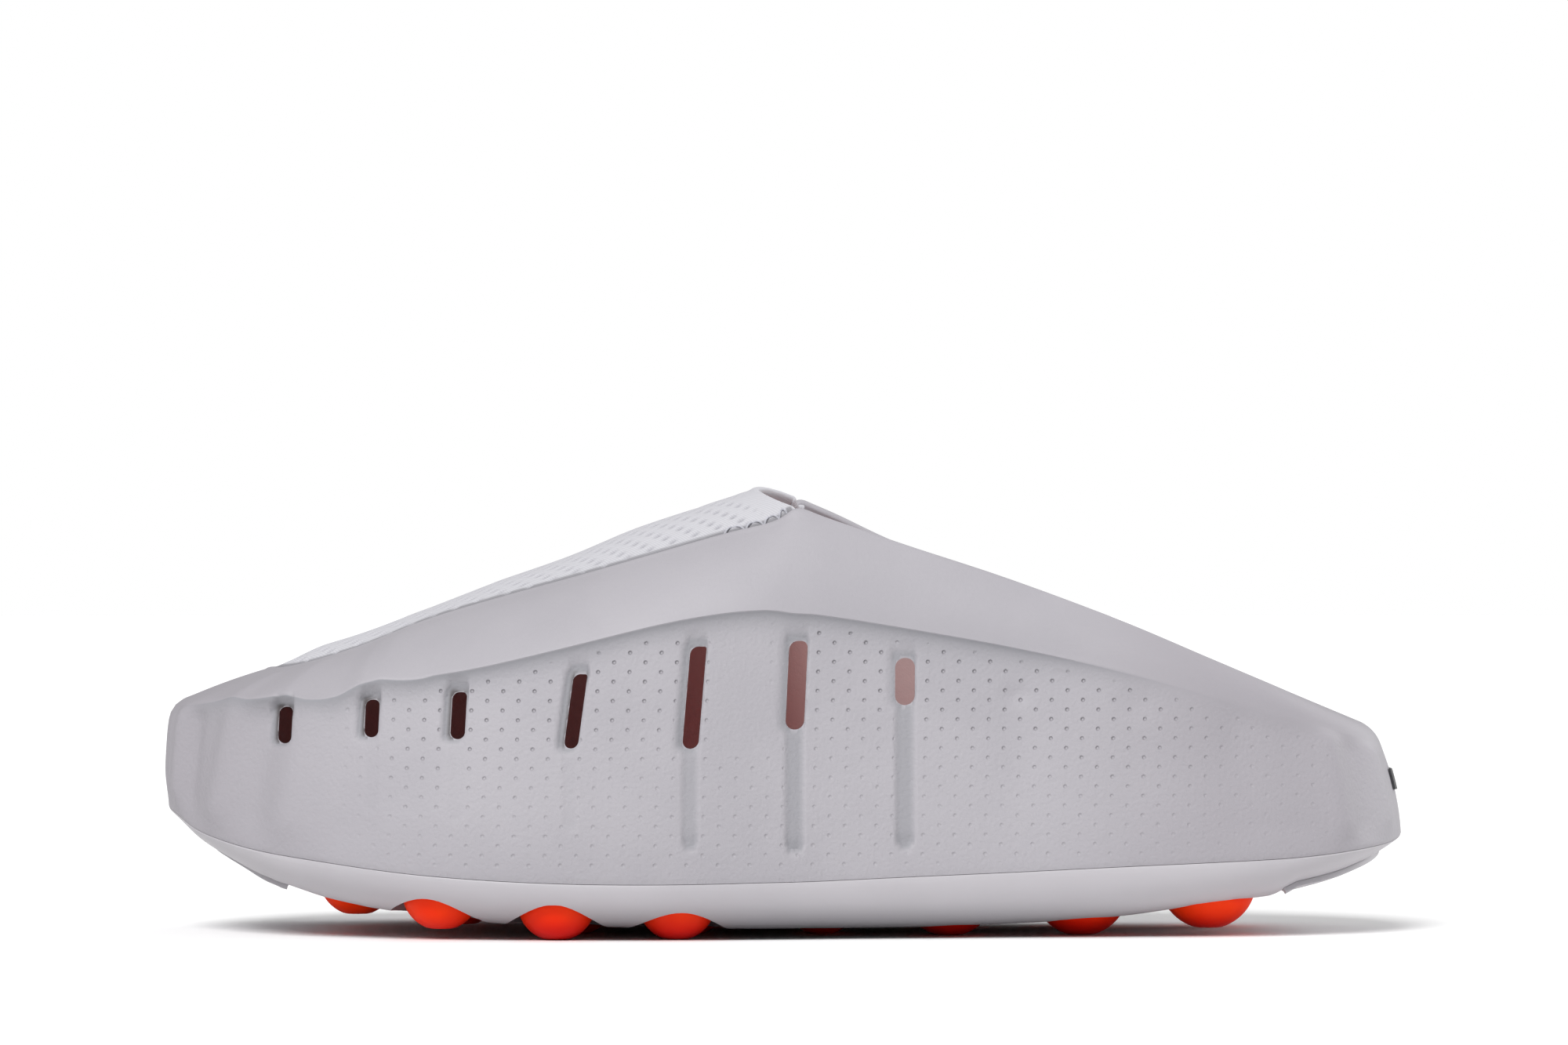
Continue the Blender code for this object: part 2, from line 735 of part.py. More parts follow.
def make_badge(parts):
    """Plain plate that follows the back of the heel."""
    low = base(HEEL).z
    rise = form(HEEL, 1.0).z - low
    foot = (BADGE_CENTRE - BADGE_HEIGHT / 2 - low) / rise
    top = (BADGE_CENTRE + BADGE_HEIGHT / 2 - low) / rise
    station = (base(HEEL - 1) - base(HEEL)).xy.length
    half = BADGE_WIDTH / 2 / station
    near = -FIT
    far = -FIT - BADGE_THICKNESS
    sections = []
    for step in range(-3, 4):
        place = HEEL + half * step / 3
        sections.append([
            wall(place, foot, near),
            wall(place, foot, far),
            wall(place, top, far),
            wall(place, top, near),
        ])
    ends = [[sum(section, Vector()) / 4] * 4 for section in (sections[0], sections[-1])]
    data = loft("heel_badge", [ends[0]] + sections + [ends[1]])
    place_object("heel_badge", data, parts, finish("badge rubber", (0.05, 0.05, 0.06), 0.5))


def build():
    clear_scene()
    parts = collection("sneaker_mule")
    cutters = collection("cutters")
    make_cage(parts, cutters)
    make_vamp(parts)
    make_footbed(parts)
    make_sole(parts, cutters)
    make_pads(parts, cutters)
    make_studs(parts)
    make_badge(parts)


build()
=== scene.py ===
# %% [markdown]
# # A slip-on foam shoe
# This lesson dresses the solid model of a left shoe: a moulded foam cage with slots,
# a knitted vamp over the instep, a dished footbed, and a rocker sole on round studs.
# The solid model is loaded first, and every new piece is set on it in the same metres:
# the toe points to -X, the outer side of the foot to -Y, and the floor is at Z = 0.

# %% Load the solid model
import math

import bmesh
import bpy
import numpy as np
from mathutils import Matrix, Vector
from mathutils.bvhtree import BVHTree


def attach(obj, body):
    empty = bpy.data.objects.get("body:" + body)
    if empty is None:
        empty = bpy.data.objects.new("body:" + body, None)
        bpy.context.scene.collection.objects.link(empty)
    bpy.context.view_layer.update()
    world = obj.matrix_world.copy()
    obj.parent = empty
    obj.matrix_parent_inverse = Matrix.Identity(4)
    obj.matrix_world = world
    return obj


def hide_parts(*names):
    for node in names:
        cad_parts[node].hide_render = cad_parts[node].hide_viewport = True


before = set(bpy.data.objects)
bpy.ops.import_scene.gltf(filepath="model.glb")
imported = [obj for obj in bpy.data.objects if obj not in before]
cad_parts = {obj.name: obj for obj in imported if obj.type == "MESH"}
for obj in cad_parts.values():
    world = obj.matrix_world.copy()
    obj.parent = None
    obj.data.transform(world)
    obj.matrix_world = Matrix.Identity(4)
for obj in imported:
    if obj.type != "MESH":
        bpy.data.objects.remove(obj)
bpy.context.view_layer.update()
print("solid model:", len(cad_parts), "pieces")

# %% [markdown]
# The photograph was taken level with the shoe, from its outer side and from far away,
# so that the outline hardly shows any perspective. A long lens at 1.8 m gives that.
# The camera looks along +Y from just under the height of the instep.

# %% Camera
CAMERA_DISTANCE = 1.8
CAMERA_HEIGHT = 0.0991
camera_data = bpy.data.cameras.new("camera")
camera_data.lens = 170.0
camera_data.sensor_width = 36.0
camera = bpy.data.objects.new("camera", camera_data)
camera.location = (0.0, -CAMERA_DISTANCE, CAMERA_HEIGHT)
camera.rotation_euler = (math.pi / 2, 0.0, 0.0)
bpy.context.scene.collection.objects.link(camera)
bpy.context.scene.camera = camera
print("camera lens:", camera_data.lens, "mm")

# %% [markdown]
# A shoe is made on a last, and a last is drawn as sections from toe to heel. The same
# is done here: a table gives each section's place and width, and a smooth curve joins
# them. The sizes are those of the solid model, so the new skins lie where it says.

# %% Sizes of the shoe
LENGTH = 0.300
HALF_WIDTH = 0.055
INSTEP_HEIGHT = 0.1042
HEEL_HEIGHT = 0.0517
PARTING_HEIGHT = 0.0136
TOE_SPRING = 0.0162
COLLAR_DROP = INSTEP_HEIGHT - HEEL_HEIGHT
WALL = 0.0042
RIM_WALL = 0.0022
FIT = 0.0003
FOOTBED_GAP = 0.0006
MM = 0.001

# %% Sections from toe to heel
# Places along the shoe are shares of LENGTH, widths are shares of HALF_WIDTH. The
# ridge is the edge between the lower panel and the upper band of the cage.
STATION_NAMES = (
    "base_x outer inner lift rim_x rim_outer rim_inner rise ridge_in ridge_up bulge crown step"
).split()
STATIONS = np.array([
    (-0.500, 0.11, 0.11, 1.000, -0.417, 0.04, 0.04, 0.246, 0.05, 0.750, 0.009, 0.009, 0.0),
    (-0.490, -0.15, 0.38, 0.926, -0.413, -0.08, 0.15, 0.246, 0.06, 0.767, 0.011, 0.009, 0.1),
    (-0.467, -0.35, 0.59, 0.679, -0.402, -0.19, 0.25, 0.251, 0.08, 0.794, 0.016, 0.013, 0.6),
    (-0.423, -0.60, 0.78, 0.463, -0.375, -0.28, 0.33, 0.288, 0.12, 0.786, 0.029, 0.020, 1.0),
    (-0.367, -0.77, 0.89, 0.309, -0.337, -0.36, 0.40, 0.358, 0.17, 0.744, 0.044, 0.029, 1.0),
    (-0.300, -0.90, 0.96, 0.154, -0.285, -0.41, 0.44, 0.476, 0.20, 0.744, 0.055, 0.038, 1.0),
    (-0.233, -0.97, 0.99, 0.062, -0.225, -0.45, 0.46, 0.579, 0.21, 0.753, 0.060, 0.042, 1.0),
    (-0.167, -0.99, 0.97, 0.012, -0.163, -0.50, 0.49, 0.676, 0.22, 0.767, 0.060, 0.042, 1.0),
    (-0.103, -0.98, 0.91, 0.000, -0.100, -0.53, 0.51, 0.779, 0.23, 0.775, 0.056, 0.040, 1.0),
    (-0.053, -0.95, 0.85, 0.009, -0.047, -0.55, 0.52, 0.865, 0.26, 0.766, 0.051, 0.036, 1.0),
    (-0.017, -0.92, 0.80, 0.022, -0.007, -0.56, 0.52, 0.922, 0.29, 0.749, 0.048, 0.035, 1.0),
    (0.013, -0.89, 0.77, 0.031, 0.012, -0.56, 0.53, 1.000, 0.31, 0.705, 0.047, 0.036, 1.0),
    (0.043, -0.86, 0.74, 0.049, 0.035, -0.57, 0.53, 0.943, 0.33, 0.719, 0.045, 0.033, 1.0),
    (0.103, -0.82, 0.70, 0.096, 0.100, -0.59, 0.55, 0.810, 0.38, 0.742, 0.040, 0.025, 1.0),
    (0.183, -0.77, 0.68, 0.154, 0.183, -0.61, 0.56, 0.644, 0.41, 0.769, 0.036, 0.020, 1.0),
    (0.267, -0.75, 0.69, 0.228, 0.267, -0.60, 0.56, 0.470, 0.43, 0.797, 0.035, 0.018, 1.0),
    (0.343, -0.73, 0.69, 0.290, 0.337, -0.56, 0.54, 0.301, 0.46, 0.821, 0.033, 0.018, 0.7),
    (0.407, -0.65, 0.64, 0.346, 0.390, -0.50, 0.48, 0.175, 0.49, 0.818, 0.029, 0.018, 0.3),
    (0.453, -0.52, 0.51, 0.432, 0.432, -0.35, 0.35, 0.078, 0.49, 0.821, 0.024, 0.016, 0.0),
    (0.487, -0.28, 0.28, 0.525, 0.460, -0.17, 0.17, 0.017, 0.48, 0.790, 0.018, 0.015, 0.0),
    (0.500, 0.00, 0.00, 0.617, 0.468, 0.00, 0.00, 0.000, 0.48, 0.747, 0.016, 0.015, 0.0),
])
HEEL = len(STATIONS) - 1
RING = 2 * HEEL
PEAK = 11
print("sections:", len(STATIONS))

# %% [markdown]
# A place on the ring round the shoe is a number: 0 at the toe tip, 20 at the heel, and
# on to 40 back at the toe by the inner side. Each column of the table becomes a curve
# over that ring. A slope that never overshoots keeps the curve from swinging out
# between sections. Each value is then averaged with its near neighbours, which takes
# the last trace of the sections out of the highlights.

# %% Smooth curves through the table
def ease(share):
    """Smooth change from 0 to 1 while the share goes from 0 to 1."""
    share = np.clip(share, 0.0, 1.0)
    return share * share * (3 - 2 * share)


def mix(first, second, share):
    return first + (second - first) * share


def bump_at(value, middle, width):
    """Smooth bump of height 1 round a middle."""
    return np.exp(-(((value - middle) / width) ** 2))


def slope(before, after):
    size = np.minimum(abs(before + after) / 2, 3 * np.minimum(abs(before), abs(after)))
    return np.where(before * after > 0, np.copysign(size, before), 0.0)


def curve_between(near, share):
    """Point on a smooth curve between the middle two of four values."""
    before, first, second, after = near
    start = slope(first - before, second - first)
    end = slope(second - first, after - second)
    square = share * share
    cube = square * share
    return (
        first * (2 * cube - 3 * square + 1)
        + start * (cube - 2 * square + share)
        + second * (3 * square - 2 * cube)
        + end * (cube - square)
    )


def ring_values(outer, inner):
    out = STATIONS[:, STATION_NAMES.index(outer)]
    back = STATIONS[:, STATION_NAMES.index(inner)]
    return np.concatenate([out, back[-2:0:-1]])


COLUMNS = {name: ring_values(name, name) for name in STATION_NAMES}
COLUMNS["side"] = ring_values("outer", "inner")
COLUMNS["rim_side"] = ring_values("rim_outer", "rim_inner")
SOFTEN = 0.3
SOFTEN_STEPS = ((-1.0, 0.0625), (-0.5, 0.25), (0.0, 0.375), (0.5, 0.25), (1.0, 0.0625))


def column(name, place, soften=SOFTEN):
    values = COLUMNS[name]
    total = 0.0
    for step, weight in SOFTEN_STEPS:
        at = np.asarray(place, float) + step * soften
        first = np.floor(at).astype(int)
        near = [values[(first + shift) % RING] for shift in (-1, 0, 1, 2)]
        total = total + weight * curve_between(near, at - first)
    return total


# %% [markdown]
# The cage's outer form runs up from the parting line, over the ridge, to the rim.
# Height counts 0 at the parting line, 1 at the ridge and 2 at the rim. At the toe the
# ridge waves a little where it passes over the slots, which a short table adds. Two
# more tables trim the rim's height at each section, and near the top of the instep the
# band is drawn from a broadly smoothed rim, so that only the rim itself comes to a peak.

# %% The cage's outer form
SAMPLE = 0.02
BROAD = 1.8
BROAD_REACH = 2.2
RIDGE_ROUNDING = 0.20
RIPPLE_X = np.array([
    -146, -138, -132, -128.5, -124, -119, -114, -110, -106, -101, -96, -92, -89, -86, -83, -77, -70
])
RIPPLE_Z = np.array([
    -0.9, -0.4, 0.8, 0.0, 0.5, 1.5, 0.2, 0.0, 0.3, 2.2, 2.4, 1.3, 0.7, 0.4, 0.6, 0.2, 0.0
])
# change of the rim's height at each section, from the toe to the heel, in mm
OUTER_TRIM = (
    -0.8, -0.8, -0.8, -0.9, -0.9, -0.9, -0.9, -0.9, -0.9, -0.9, -0.9,
    -2.0, -1.2, -1.0, -0.6, -0.75, -0.6, -0.5, -0.6, -0.9, -1.1
)
INNER_TRIM = (
    -0.8, -0.8, -0.6, -0.4, -0.2, 0.0, 0.0, 0.0, 0.0, 0.0, -0.1,
    0.1, 0.9, -1.2, -1.4, -1.9, -2.0, -2.0, -2.4, -2.8, -2.5,
)
COLUMNS["trim"] = np.array(OUTER_TRIM + INNER_TRIM[-2:0:-1]) * MM


def from_toe(place):
    """Place counted from the toe tip, alike on both sides of the shoe."""
    return np.minimum(place % RING, RING - place % RING)


def length_of(vectors):
    return np.linalg.norm(vectors, axis=-1)


def unit(vectors):
    return vectors / np.maximum(length_of(vectors), 1e-12)[..., None]


def stack(x, y, z):
    return np.stack(np.broadcast_arrays(x, y, z), axis=-1)


def base(place):
    """Parting line between cage and sole."""
    return stack(
        column("base_x", place) * LENGTH,
        column("side", place) * HALF_WIDTH,
        PARTING_HEIGHT + column("lift", place) * TOE_SPRING,
    )


def rim(place, soften=SOFTEN):
    """Upper edge of the cage: first the throat seam, then the collar."""
    return stack(
        column("rim_x", place, soften) * LENGTH,
        column("rim_side", place, soften) * HALF_WIDTH,
        HEEL_HEIGHT + column("rise", place, soften) * COLLAR_DROP,
    )


def outward(place):
    along = base(place + SAMPLE) - base(place - SAMPLE)
    return unit(stack(along[..., 1], -along[..., 0], 0.0))


def ripple(x):
    fine = np.linspace(RIPPLE_X[0], RIPPLE_X[-1], 400)
    wave = np.interp(fine, RIPPLE_X, RIPPLE_Z)
    wave = np.convolve(np.pad(wave, 9, "edge"), np.hanning(19) / np.hanning(19).sum(), "valid")
    return np.interp(x / MM, fine, wave, right=0.0) * MM


def ridge_strength(place):
    """How sharp the ridge is: it fades out behind the last slot."""
    return column("step", place) * mix(1.0, 0.15, ease((from_toe(place) - 13.7) / 2.3))


def plain_form(place, height):
    low = base(place)
    top = rim(place)
    out = outward(place)
    ridge = mix(low, top, column("ridge_in", place)[..., None])
    ridge[..., 2] = mix(low[..., 2], top[..., 2], column("ridge_up", place)) + ripple(ridge[..., 0])
    share = np.minimum(height, 1.0)
    swell = column("bulge", place) * HALF_WIDTH * 4 * share * (1 - share)
    panel = mix(low, ridge, share[..., None]) + out * swell[..., None]
    share = np.maximum(height - 1.0, 0.0)
    top[..., 2] += column("trim", place)
    across = top - ridge
    climb = across[..., 2]
    away = unit(stack(out[..., 0] * climb, out[..., 1] * climb, length_of(across[..., :2])))
    swell = column("crown", place) * HALF_WIDTH * 4 * share * (1 - share)
    broad = rim(place, BROAD)
    broad[..., 2] += column("trim", place, BROAD)
    near_peak = bump_at(from_toe(place), PEAK, BROAD_REACH)
    edge = mix(broad, top, (1 - near_peak * (1 - share**5))[..., None])
    band = mix(ridge, edge, share[..., None]) + away * swell[..., None]
    return np.where((height <= 1.0)[..., None], panel, band)


def form(place, height):
    """Outer form; the ridge's edge is rounded off where it dies out."""
    height = np.asarray(height, float)
    soft = RIDGE_ROUNDING * (1 - 0.93 * ridge_strength(place)) * ease(1 - abs(height - 1) / 0.45)
    total = 0.0
    for step, weight in SOFTEN_STEPS:
        total = total + weight * plain_form(place, np.clip(height + step * soft, 0.0, 2.0))
    return total


def wall(place, height, depth):
    """Points at a depth under the cage's outer form."""
    height = np.asarray(height, float)
    along = form(place + SAMPLE, height) - form(place - SAMPLE, height)
    above = np.minimum(height + SAMPLE, 2.0)
    below = np.maximum(height - SAMPLE, 0.0)
    up = form(place, above) - form(place, below)
    return form(place, height) - unit(np.cross(along, up)) * np.asarray(depth)[..., None]


def thickness(height):
    return mix(WALL, RIM_WALL, ease(height - 1.0))


def other_side(place):
    return (RING - place) % RING


print("toe tip:", base(np.array([0.0])).round(4).tolist())

# %% [markdown]
# Most pieces here are curved skins. Each starts as a flat grid, which Blender makes in
# one operator, and every vertex of the grid is then moved to its place on the form.
# Where the first and last row or column meet they are merged, so the skin closes.

# %% Skins from a grid
def add_piece(name, data):
    thing = bpy.data.objects.new(name, data)
    bpy.context.scene.collection.objects.link(thing)
    return thing


def to_mesh(work, name):
    """Mesh of a finished bmesh, which is freed."""
    data = bpy.data.meshes.new(name)
    work.to_mesh(data)
    work.free()
    return data


def skin(name, points, marks=()):
    """Skin through points[row, column]; marks are values that the finish reads later."""
    rows, columns = points.shape[:2]
    grid = bmesh.new()
    bmesh.ops.create_grid(grid, x_segments=columns - 1, y_segments=rows - 1, size=0.5)
    data = to_mesh(grid, name)
    data.vertices.foreach_set("co", points.astype(np.float32).ravel())
    for mark, values in dict(marks).items():
        kind = "FLOAT_VECTOR" if values.ndim == 3 else "FLOAT"
        field = "vector" if values.ndim == 3 else "value"
        attribute = data.attributes.new(mark, kind, "POINT")
        attribute.data.foreach_set(field, values.astype(np.float32).ravel())
    closed = bmesh.new()
    closed.from_mesh(data)
    bmesh.ops.remove_doubles(closed, verts=closed.verts, dist=2e-6)
    bmesh.ops.dissolve_degenerate(closed, edges=closed.edges, dist=1e-7)
    bmesh.ops.recalc_face_normals(closed, faces=closed.faces)
    closed.to_mesh(data)
    closed.free()
    data.shade_smooth()
    return add_piece(name, data)


def apply_modifiers(thing):
    seen = thing.evaluated_get(bpy.context.evaluated_depsgraph_get())
    data = bpy.data.meshes.new_from_object(seen)
    thing.modifiers.clear()
    thing.data = data


def add_shape(whole, part):
    """Puts a finished shape into the bmesh that collects all cutters."""
    data = to_mesh(part, "cutter part")
    whole.from_mesh(data)
    bpy.data.meshes.remove(data)


def cut_with(thing, cutters):
    """Takes the cutters' shape out of a piece with an exact Boolean."""
    cutter = add_piece("cutter", to_mesh(cutters, "cutter"))
    boolean = thing.modifiers.new("cut", "BOOLEAN")
    boolean.object = cutter
    boolean.solver = "EXACT"
    boolean.operation = "DIFFERENCE"
    apply_modifiers(thing)
    bpy.data.objects.remove(cutter)


def count_triangles(thing):
    thing.data.calc_loop_triangles()
    return len(thing.data.loop_triangles)


def rounded_edge(outer, inner, onward, rise, steps):
    """Rows of points that turn from an outer edge over to an inner edge."""
    centre = (outer + inner) / 2
    rows = []
    for step in range(1, steps):
        angle = math.pi * step / steps
        turned = (outer - centre) * math.cos(angle) + onward * rise * math.sin(angle)
        rows.append(centre + turned)
    return np.stack(rows)


# %% [markdown]
# The lower panel has slots right through the foam. Each sits in a soft pocket that
# starts on its toe side, and the long ones run on down in a shallow channel. The outer
# side has seven, and the slots of the inner side stand half-way between them.

# %% Table of slots
# Millimetres: x, foot and top of the hole, width, shift of the top towards the heel,
# the depth and the lower end of the channel under it, depth of the scoop on the toe
# side, and radius of the hole's upper corner on the heel side
OUTER_SLOTS = np.array([
    (-119.1, 46.4, 55.1, 3.4, 0.3, 0.0, 42.7, 3.2, 1.3),
    (-98.0, 48.1, 57.0, 3.4, 0.3, 0.10, 30.0, 3.2, 1.3),
    (-77.3, 47.8, 58.9, 3.5, 0.5, 0.14, 28.0, 3.2, 1.1),
    (-50.4, 45.7, 63.2, 3.3, 2.3, 0.18, 26.0, 2.6, 0.7),
    (-22.2, 45.6, 69.7, 3.8, 2.0, 0.55, 21.4, 1.8, 0.6),
    (2.5, 50.0, 71.0, 4.4, 1.0, 0.75, 20.4, 1.2, 1.6),
    (28.7, 55.7, 66.9, 4.7, 0.1, 0.75, 21.4, 0.8, 2.2),
]) * MM
INNER_SLOTS = (OUTER_SLOTS[:-1] + OUTER_SLOTS[1:]) / 2
SIDES = ((-1, OUTER_SLOTS), (1, INNER_SLOTS))
print("slots:", len(OUTER_SLOTS), "outer,", len(INNER_SLOTS), "inner")

# %% [markdown]
# The columns of the cage's grid stand close together at the slots and further apart
# elsewhere. That spends the faces where small shapes are. The rows stand close under
# the ridge and at the rim for the same reason.

# %% Grid of the cage
WIDE_SPACING = 1.30 * MM
SLOT_SPACING = 0.42 * MM
END_SPACING = 0.75 * MM
CLOSE_REACH = 3.6 * MM
CLOSE_FADE = 4.0 * MM
fine_places = np.linspace(0.0, RING, 12001)
fine_points = form(fine_places, np.full_like(fine_places, 0.75))
near_end = np.minimum(from_toe(fine_places), abs(fine_places - HEEL))
spacing = mix(END_SPACING, WIDE_SPACING, ease((near_end - 3.6) / 1.2))
for side, slots in SIDES:
    on_side = fine_points[:, 1] * side > 0
    for slot in slots:
        away = abs(fine_points[:, 0] - slot[0] - slot[4] / 2)
        close = mix(SLOT_SPACING, WIDE_SPACING, ease((away - CLOSE_REACH) / CLOSE_FADE))
        spacing = np.where(on_side, np.minimum(spacing, close), spacing)
steps = length_of(np.diff(fine_points, axis=0)) / (spacing[1:] + spacing[:-1]) * 2
counted = np.concatenate([[0.0], np.cumsum(steps)])
column_count = int(round(counted[-1]))
places = np.interp(np.linspace(0.0, counted[-1], column_count + 1), counted, fine_places)

panel_rows = np.concatenate([
    np.linspace(0.0, 0.90, 44, endpoint=False),
    np.linspace(0.90, 0.96, 5, endpoint=False),
    np.linspace(0.96, 1.0, 7, endpoint=False),
])
band_rows = np.concatenate([
    np.linspace(1.0, 1.05, 3, endpoint=False),
    np.linspace(1.05, 1.88, 16, endpoint=False),
    np.linspace(1.88, 2.0, 6),
])
heights = np.concatenate([panel_rows, band_rows])[:, None]
print("cage grid:", len(heights), "rows,", column_count, "columns")

# %% [markdown]
# The relief is worked out as a depth under the smooth form, in metres. The cove is the
# turned-in strip right under the ridge: deep at once, then slowly back to the form.
# Scoops, pockets and channels are products of soft steps across and along each slot.

# %% Relief of the lower panel
COVE_DEPTH = 2.3 * MM
COVE_REACH = 1.9 * MM
TOE_SOFTNESS = 0.9 * MM
SCOOP_REACH = 2.5 * MM
SCOOP_CURVE = 1.35
POCKET_DEPTH = 1.6 * MM
POCKET_BEFORE = 1.7 * MM
POCKET_BEHIND = 0.5 * MM
POCKET_ABOVE = 4.4 * MM
POCKET_BELOW = 1.2 * MM
CHANNEL_END = 1.1 * MM
CHANNEL_TIP = 1.3 * MM
EDGE_ROUNDING = 0.55 * MM
EDGE_DEPTH = 0.4 * MM
SLOT_REACH = 9.0 * MM


def cove(place, height, drop, x):
    softness = TOE_SOFTNESS * ease((-0.075 - x) / 0.030)
    reach = np.sqrt(drop * drop + softness * softness) - softness
    depth = COVE_DEPTH * (1 - np.exp(-reach / COVE_REACH)) * ridge_strength(place)
    shallow = mix(1.0, 0.75, ease((-0.085 - x) / 0.030))
    return np.where(height < 1, depth * shallow * ease(height / 0.7), 0.0)


def slot_relief(x, z, slot):
    """Depth of the scoop, the pocket, the channel and the rounded edge at one slot."""
    at, foot, top, width, lean, channel, channel_foot, scoop = slot[:8]
    half = width / 2
    along = x - at - lean * np.clip((z - foot) / (top - foot), 0.0, 1.0)
    behind = ease((half + POCKET_BEHIND - along) / POCKET_BEHIND)
    before = np.clip((along + half + SCOOP_REACH) / SCOOP_REACH, 0.0, 1.0) ** SCOOP_CURVE
    below = ease((z - foot + POCKET_BELOW) / (2.4 * MM))
    scooped = scoop * before * below * ease((top + 2.2 * MM - z) / (2.6 * MM))
    scooped = scooped * ease((half - along) / (0.8 * width))
    before = ease((along + half + POCKET_BEFORE) / POCKET_BEFORE)
    above = np.clip((top + POCKET_ABOVE - z) / POCKET_ABOVE, 0.0, 1.0) ** 1.6
    pocket = (0.5 * POCKET_DEPTH + 0.45 * scoop) * before * behind * above
    pocket = pocket * ease((z - top + 3 * MM) / (3 * MM))
    trough = ease(1.1 * (1 - (along / (half + 0.5 * MM)) ** 2))
    from_end = z - channel_foot - CHANNEL_TIP * (along / half) ** 2
    end = ease(from_end / CHANNEL_END) * ease((top - z) / MM)
    end = end * (1 + 0.5 * bump_at(from_end, 1.5 * MM, 1.6 * MM))
    middle = np.clip(z, foot + half, top - half)
    beside = np.hypot(along, z - middle) - half
    turned = np.maximum(ease((along + 0.3 * half) / (0.8 * half)), ease((foot + half - z) / half))
    rounding = EDGE_DEPTH * ease(1 - beside / EDGE_ROUNDING) * turned
    return np.maximum(np.maximum(pocket, scooped), channel * trough * end) + rounding


def gather_relief(points, place):
    """Relief of all slots, each on its own side of the shoe."""
    total = np.zeros(points.shape[:2])
    for side, slots in SIDES:
        for slot in slots:
            near = (abs(points[..., 0] - slot[0]) < SLOT_REACH) & (points[..., 1] * side > 0)
            depth = slot_relief(points[near][:, 0], points[near][:, 2], slot)
            total[near] = np.maximum(total[near], depth)
    return total


# %% [markdown]
# Round the toe and the heel the panel has soft upright flutes, and behind the last slot
# the row goes on as faint dents, the last of them a broad hollow before the heel. They
# are low, wide swells of the same skin.

# %% Flutes and dents
# place at the foot, place at the top, height of the swell in mm, width in places
FLUTES = (
    (0.70, 0.75, -0.5, 0.22),
    (1.10, 1.15, 1.3, 0.20),
    (1.62, 1.66, -1.1, 0.24),
    (2.25, 2.55, 1.5, 0.24),
    (2.95, 3.10, -1.3, 0.30),
    (3.45, 3.75, 1.2, 0.26),
    (4.30, 4.50, -0.6, 0.34),
    (16.40, 16.40, -0.9, 0.45),
    (17.15, 17.05, -0.8, 0.40),
    (17.85, 17.75, 1.1, 0.24),
    (18.35, 18.25, -0.8, 0.24),
    (18.98, 18.88, 0.9, 0.24),
)
TOE_SWELL = 0.9 * MM
# x, z, depth, half width, half height, all in mm
DENTS = (
    (55.3, 58.5, 0.75, 3.0, 2.2),
    (55.3, 45.0, 0.35, 4.5, 13.0),
    (84.0, 56.0, 0.55, 4.5, 4.0),
    (84.0, 42.0, 0.30, 5.0, 12.0),
    (108.0, 50.0, 0.45, 5.0, 8.0),
    (104.0, 43.0, 1.5, 26.0, 12.0),
)


def swells(place, height, points):
    """Depth of flutes and dents, negative where the skin stands out."""
    total = np.zeros(points.shape[:2])
    near_place = from_toe(place)
    fade = ease(height / 0.25) * ease((1.06 - height) / 0.22)
    for foot, top, rise, width in FLUTES:
        middle = mix(foot, top, np.minimum(height, 1.0))
        total -= rise * MM * bump_at(near_place, middle, width) * fade
    fade = ease(height / 0.4) * ease((1.25 - height) / 0.5)
    total -= TOE_SWELL * ease((1.9 - near_place) / 1.5) * fade
    for x, z, depth, half_width, half_height in DENTS:
        along = bump_at(points[..., 0] / MM, x, half_width)
        total += depth * MM * along * bump_at(points[..., 2] / MM, z, half_height)
    return total


# %% [markdown]
# The skin runs up the outside, over a rounded lip and down the lining. The outside is
# moved inwards, so a slot's relief is looked up again at the moved points a few times.
# The wall stays at least a millimetre thick wherever the relief is deepest.

# %% Cage skin
THINNEST = 1.0 * MM
COVE_RELEASE = 6.0 * MM
BEAD_HEIGHT = 0.25 * MM
BEAD_WIDTH = 0.8 * MM
FOOT_ROUNDING = 0.3 * MM
RELIEF_ROUNDS = 8
LINING_ROWS = 17
plain = form(places, heights)
ridge_row = len(panel_rows)
edge_lengths = length_of(np.diff(plain, axis=0))
run = np.concatenate([np.zeros((1, len(places))), np.cumsum(edge_lengths, axis=0)])
drop = run[ridge_row] - run
inward = wall(places, heights, np.ones_like(drop)) - plain
smooth_depth = cove(places, heights, drop, plain[..., 0])
swell_depth = swells(places, heights, plain)
slot_depth = np.zeros_like(drop)
for attempt in range(RELIEF_ROUNDS):
    depth = smooth_depth * ease(1 - slot_depth / COVE_RELEASE) + slot_depth + swell_depth
    depth = np.minimum(depth, WALL - THINNEST)
    slot_depth = (slot_depth + gather_relief(plain + inward * depth[..., None], places)) / 2
throat = ease((PEAK + 0.4 - from_toe(places)) / 0.8)
to_rim = run[-1] - run
depth -= BEAD_HEIGHT * throat * ease(1 - abs(to_rim - 0.3 * MM) / BEAD_WIDTH)
depth += FOOT_ROUNDING / 2 * ease(1 - run / FOOT_ROUNDING) ** 2

outside = wall(places, heights, depth)
lining_rows = np.linspace(2.0, 0.0, LINING_ROWS)[:, None]
lining = wall(places, lining_rows, thickness(lining_rows))
lining[-1, :, 2] = outside[0, :, 2]
onward = unit(outside[-1] - outside[-3])
lip = rounded_edge(outside[-1], lining[0], onward, RIM_WALL * 0.42, 6)
cage_points = np.concatenate([outside, lip, lining, outside[:1]])
print("cage skin:", cage_points.shape[0], "x", cage_points.shape[1])
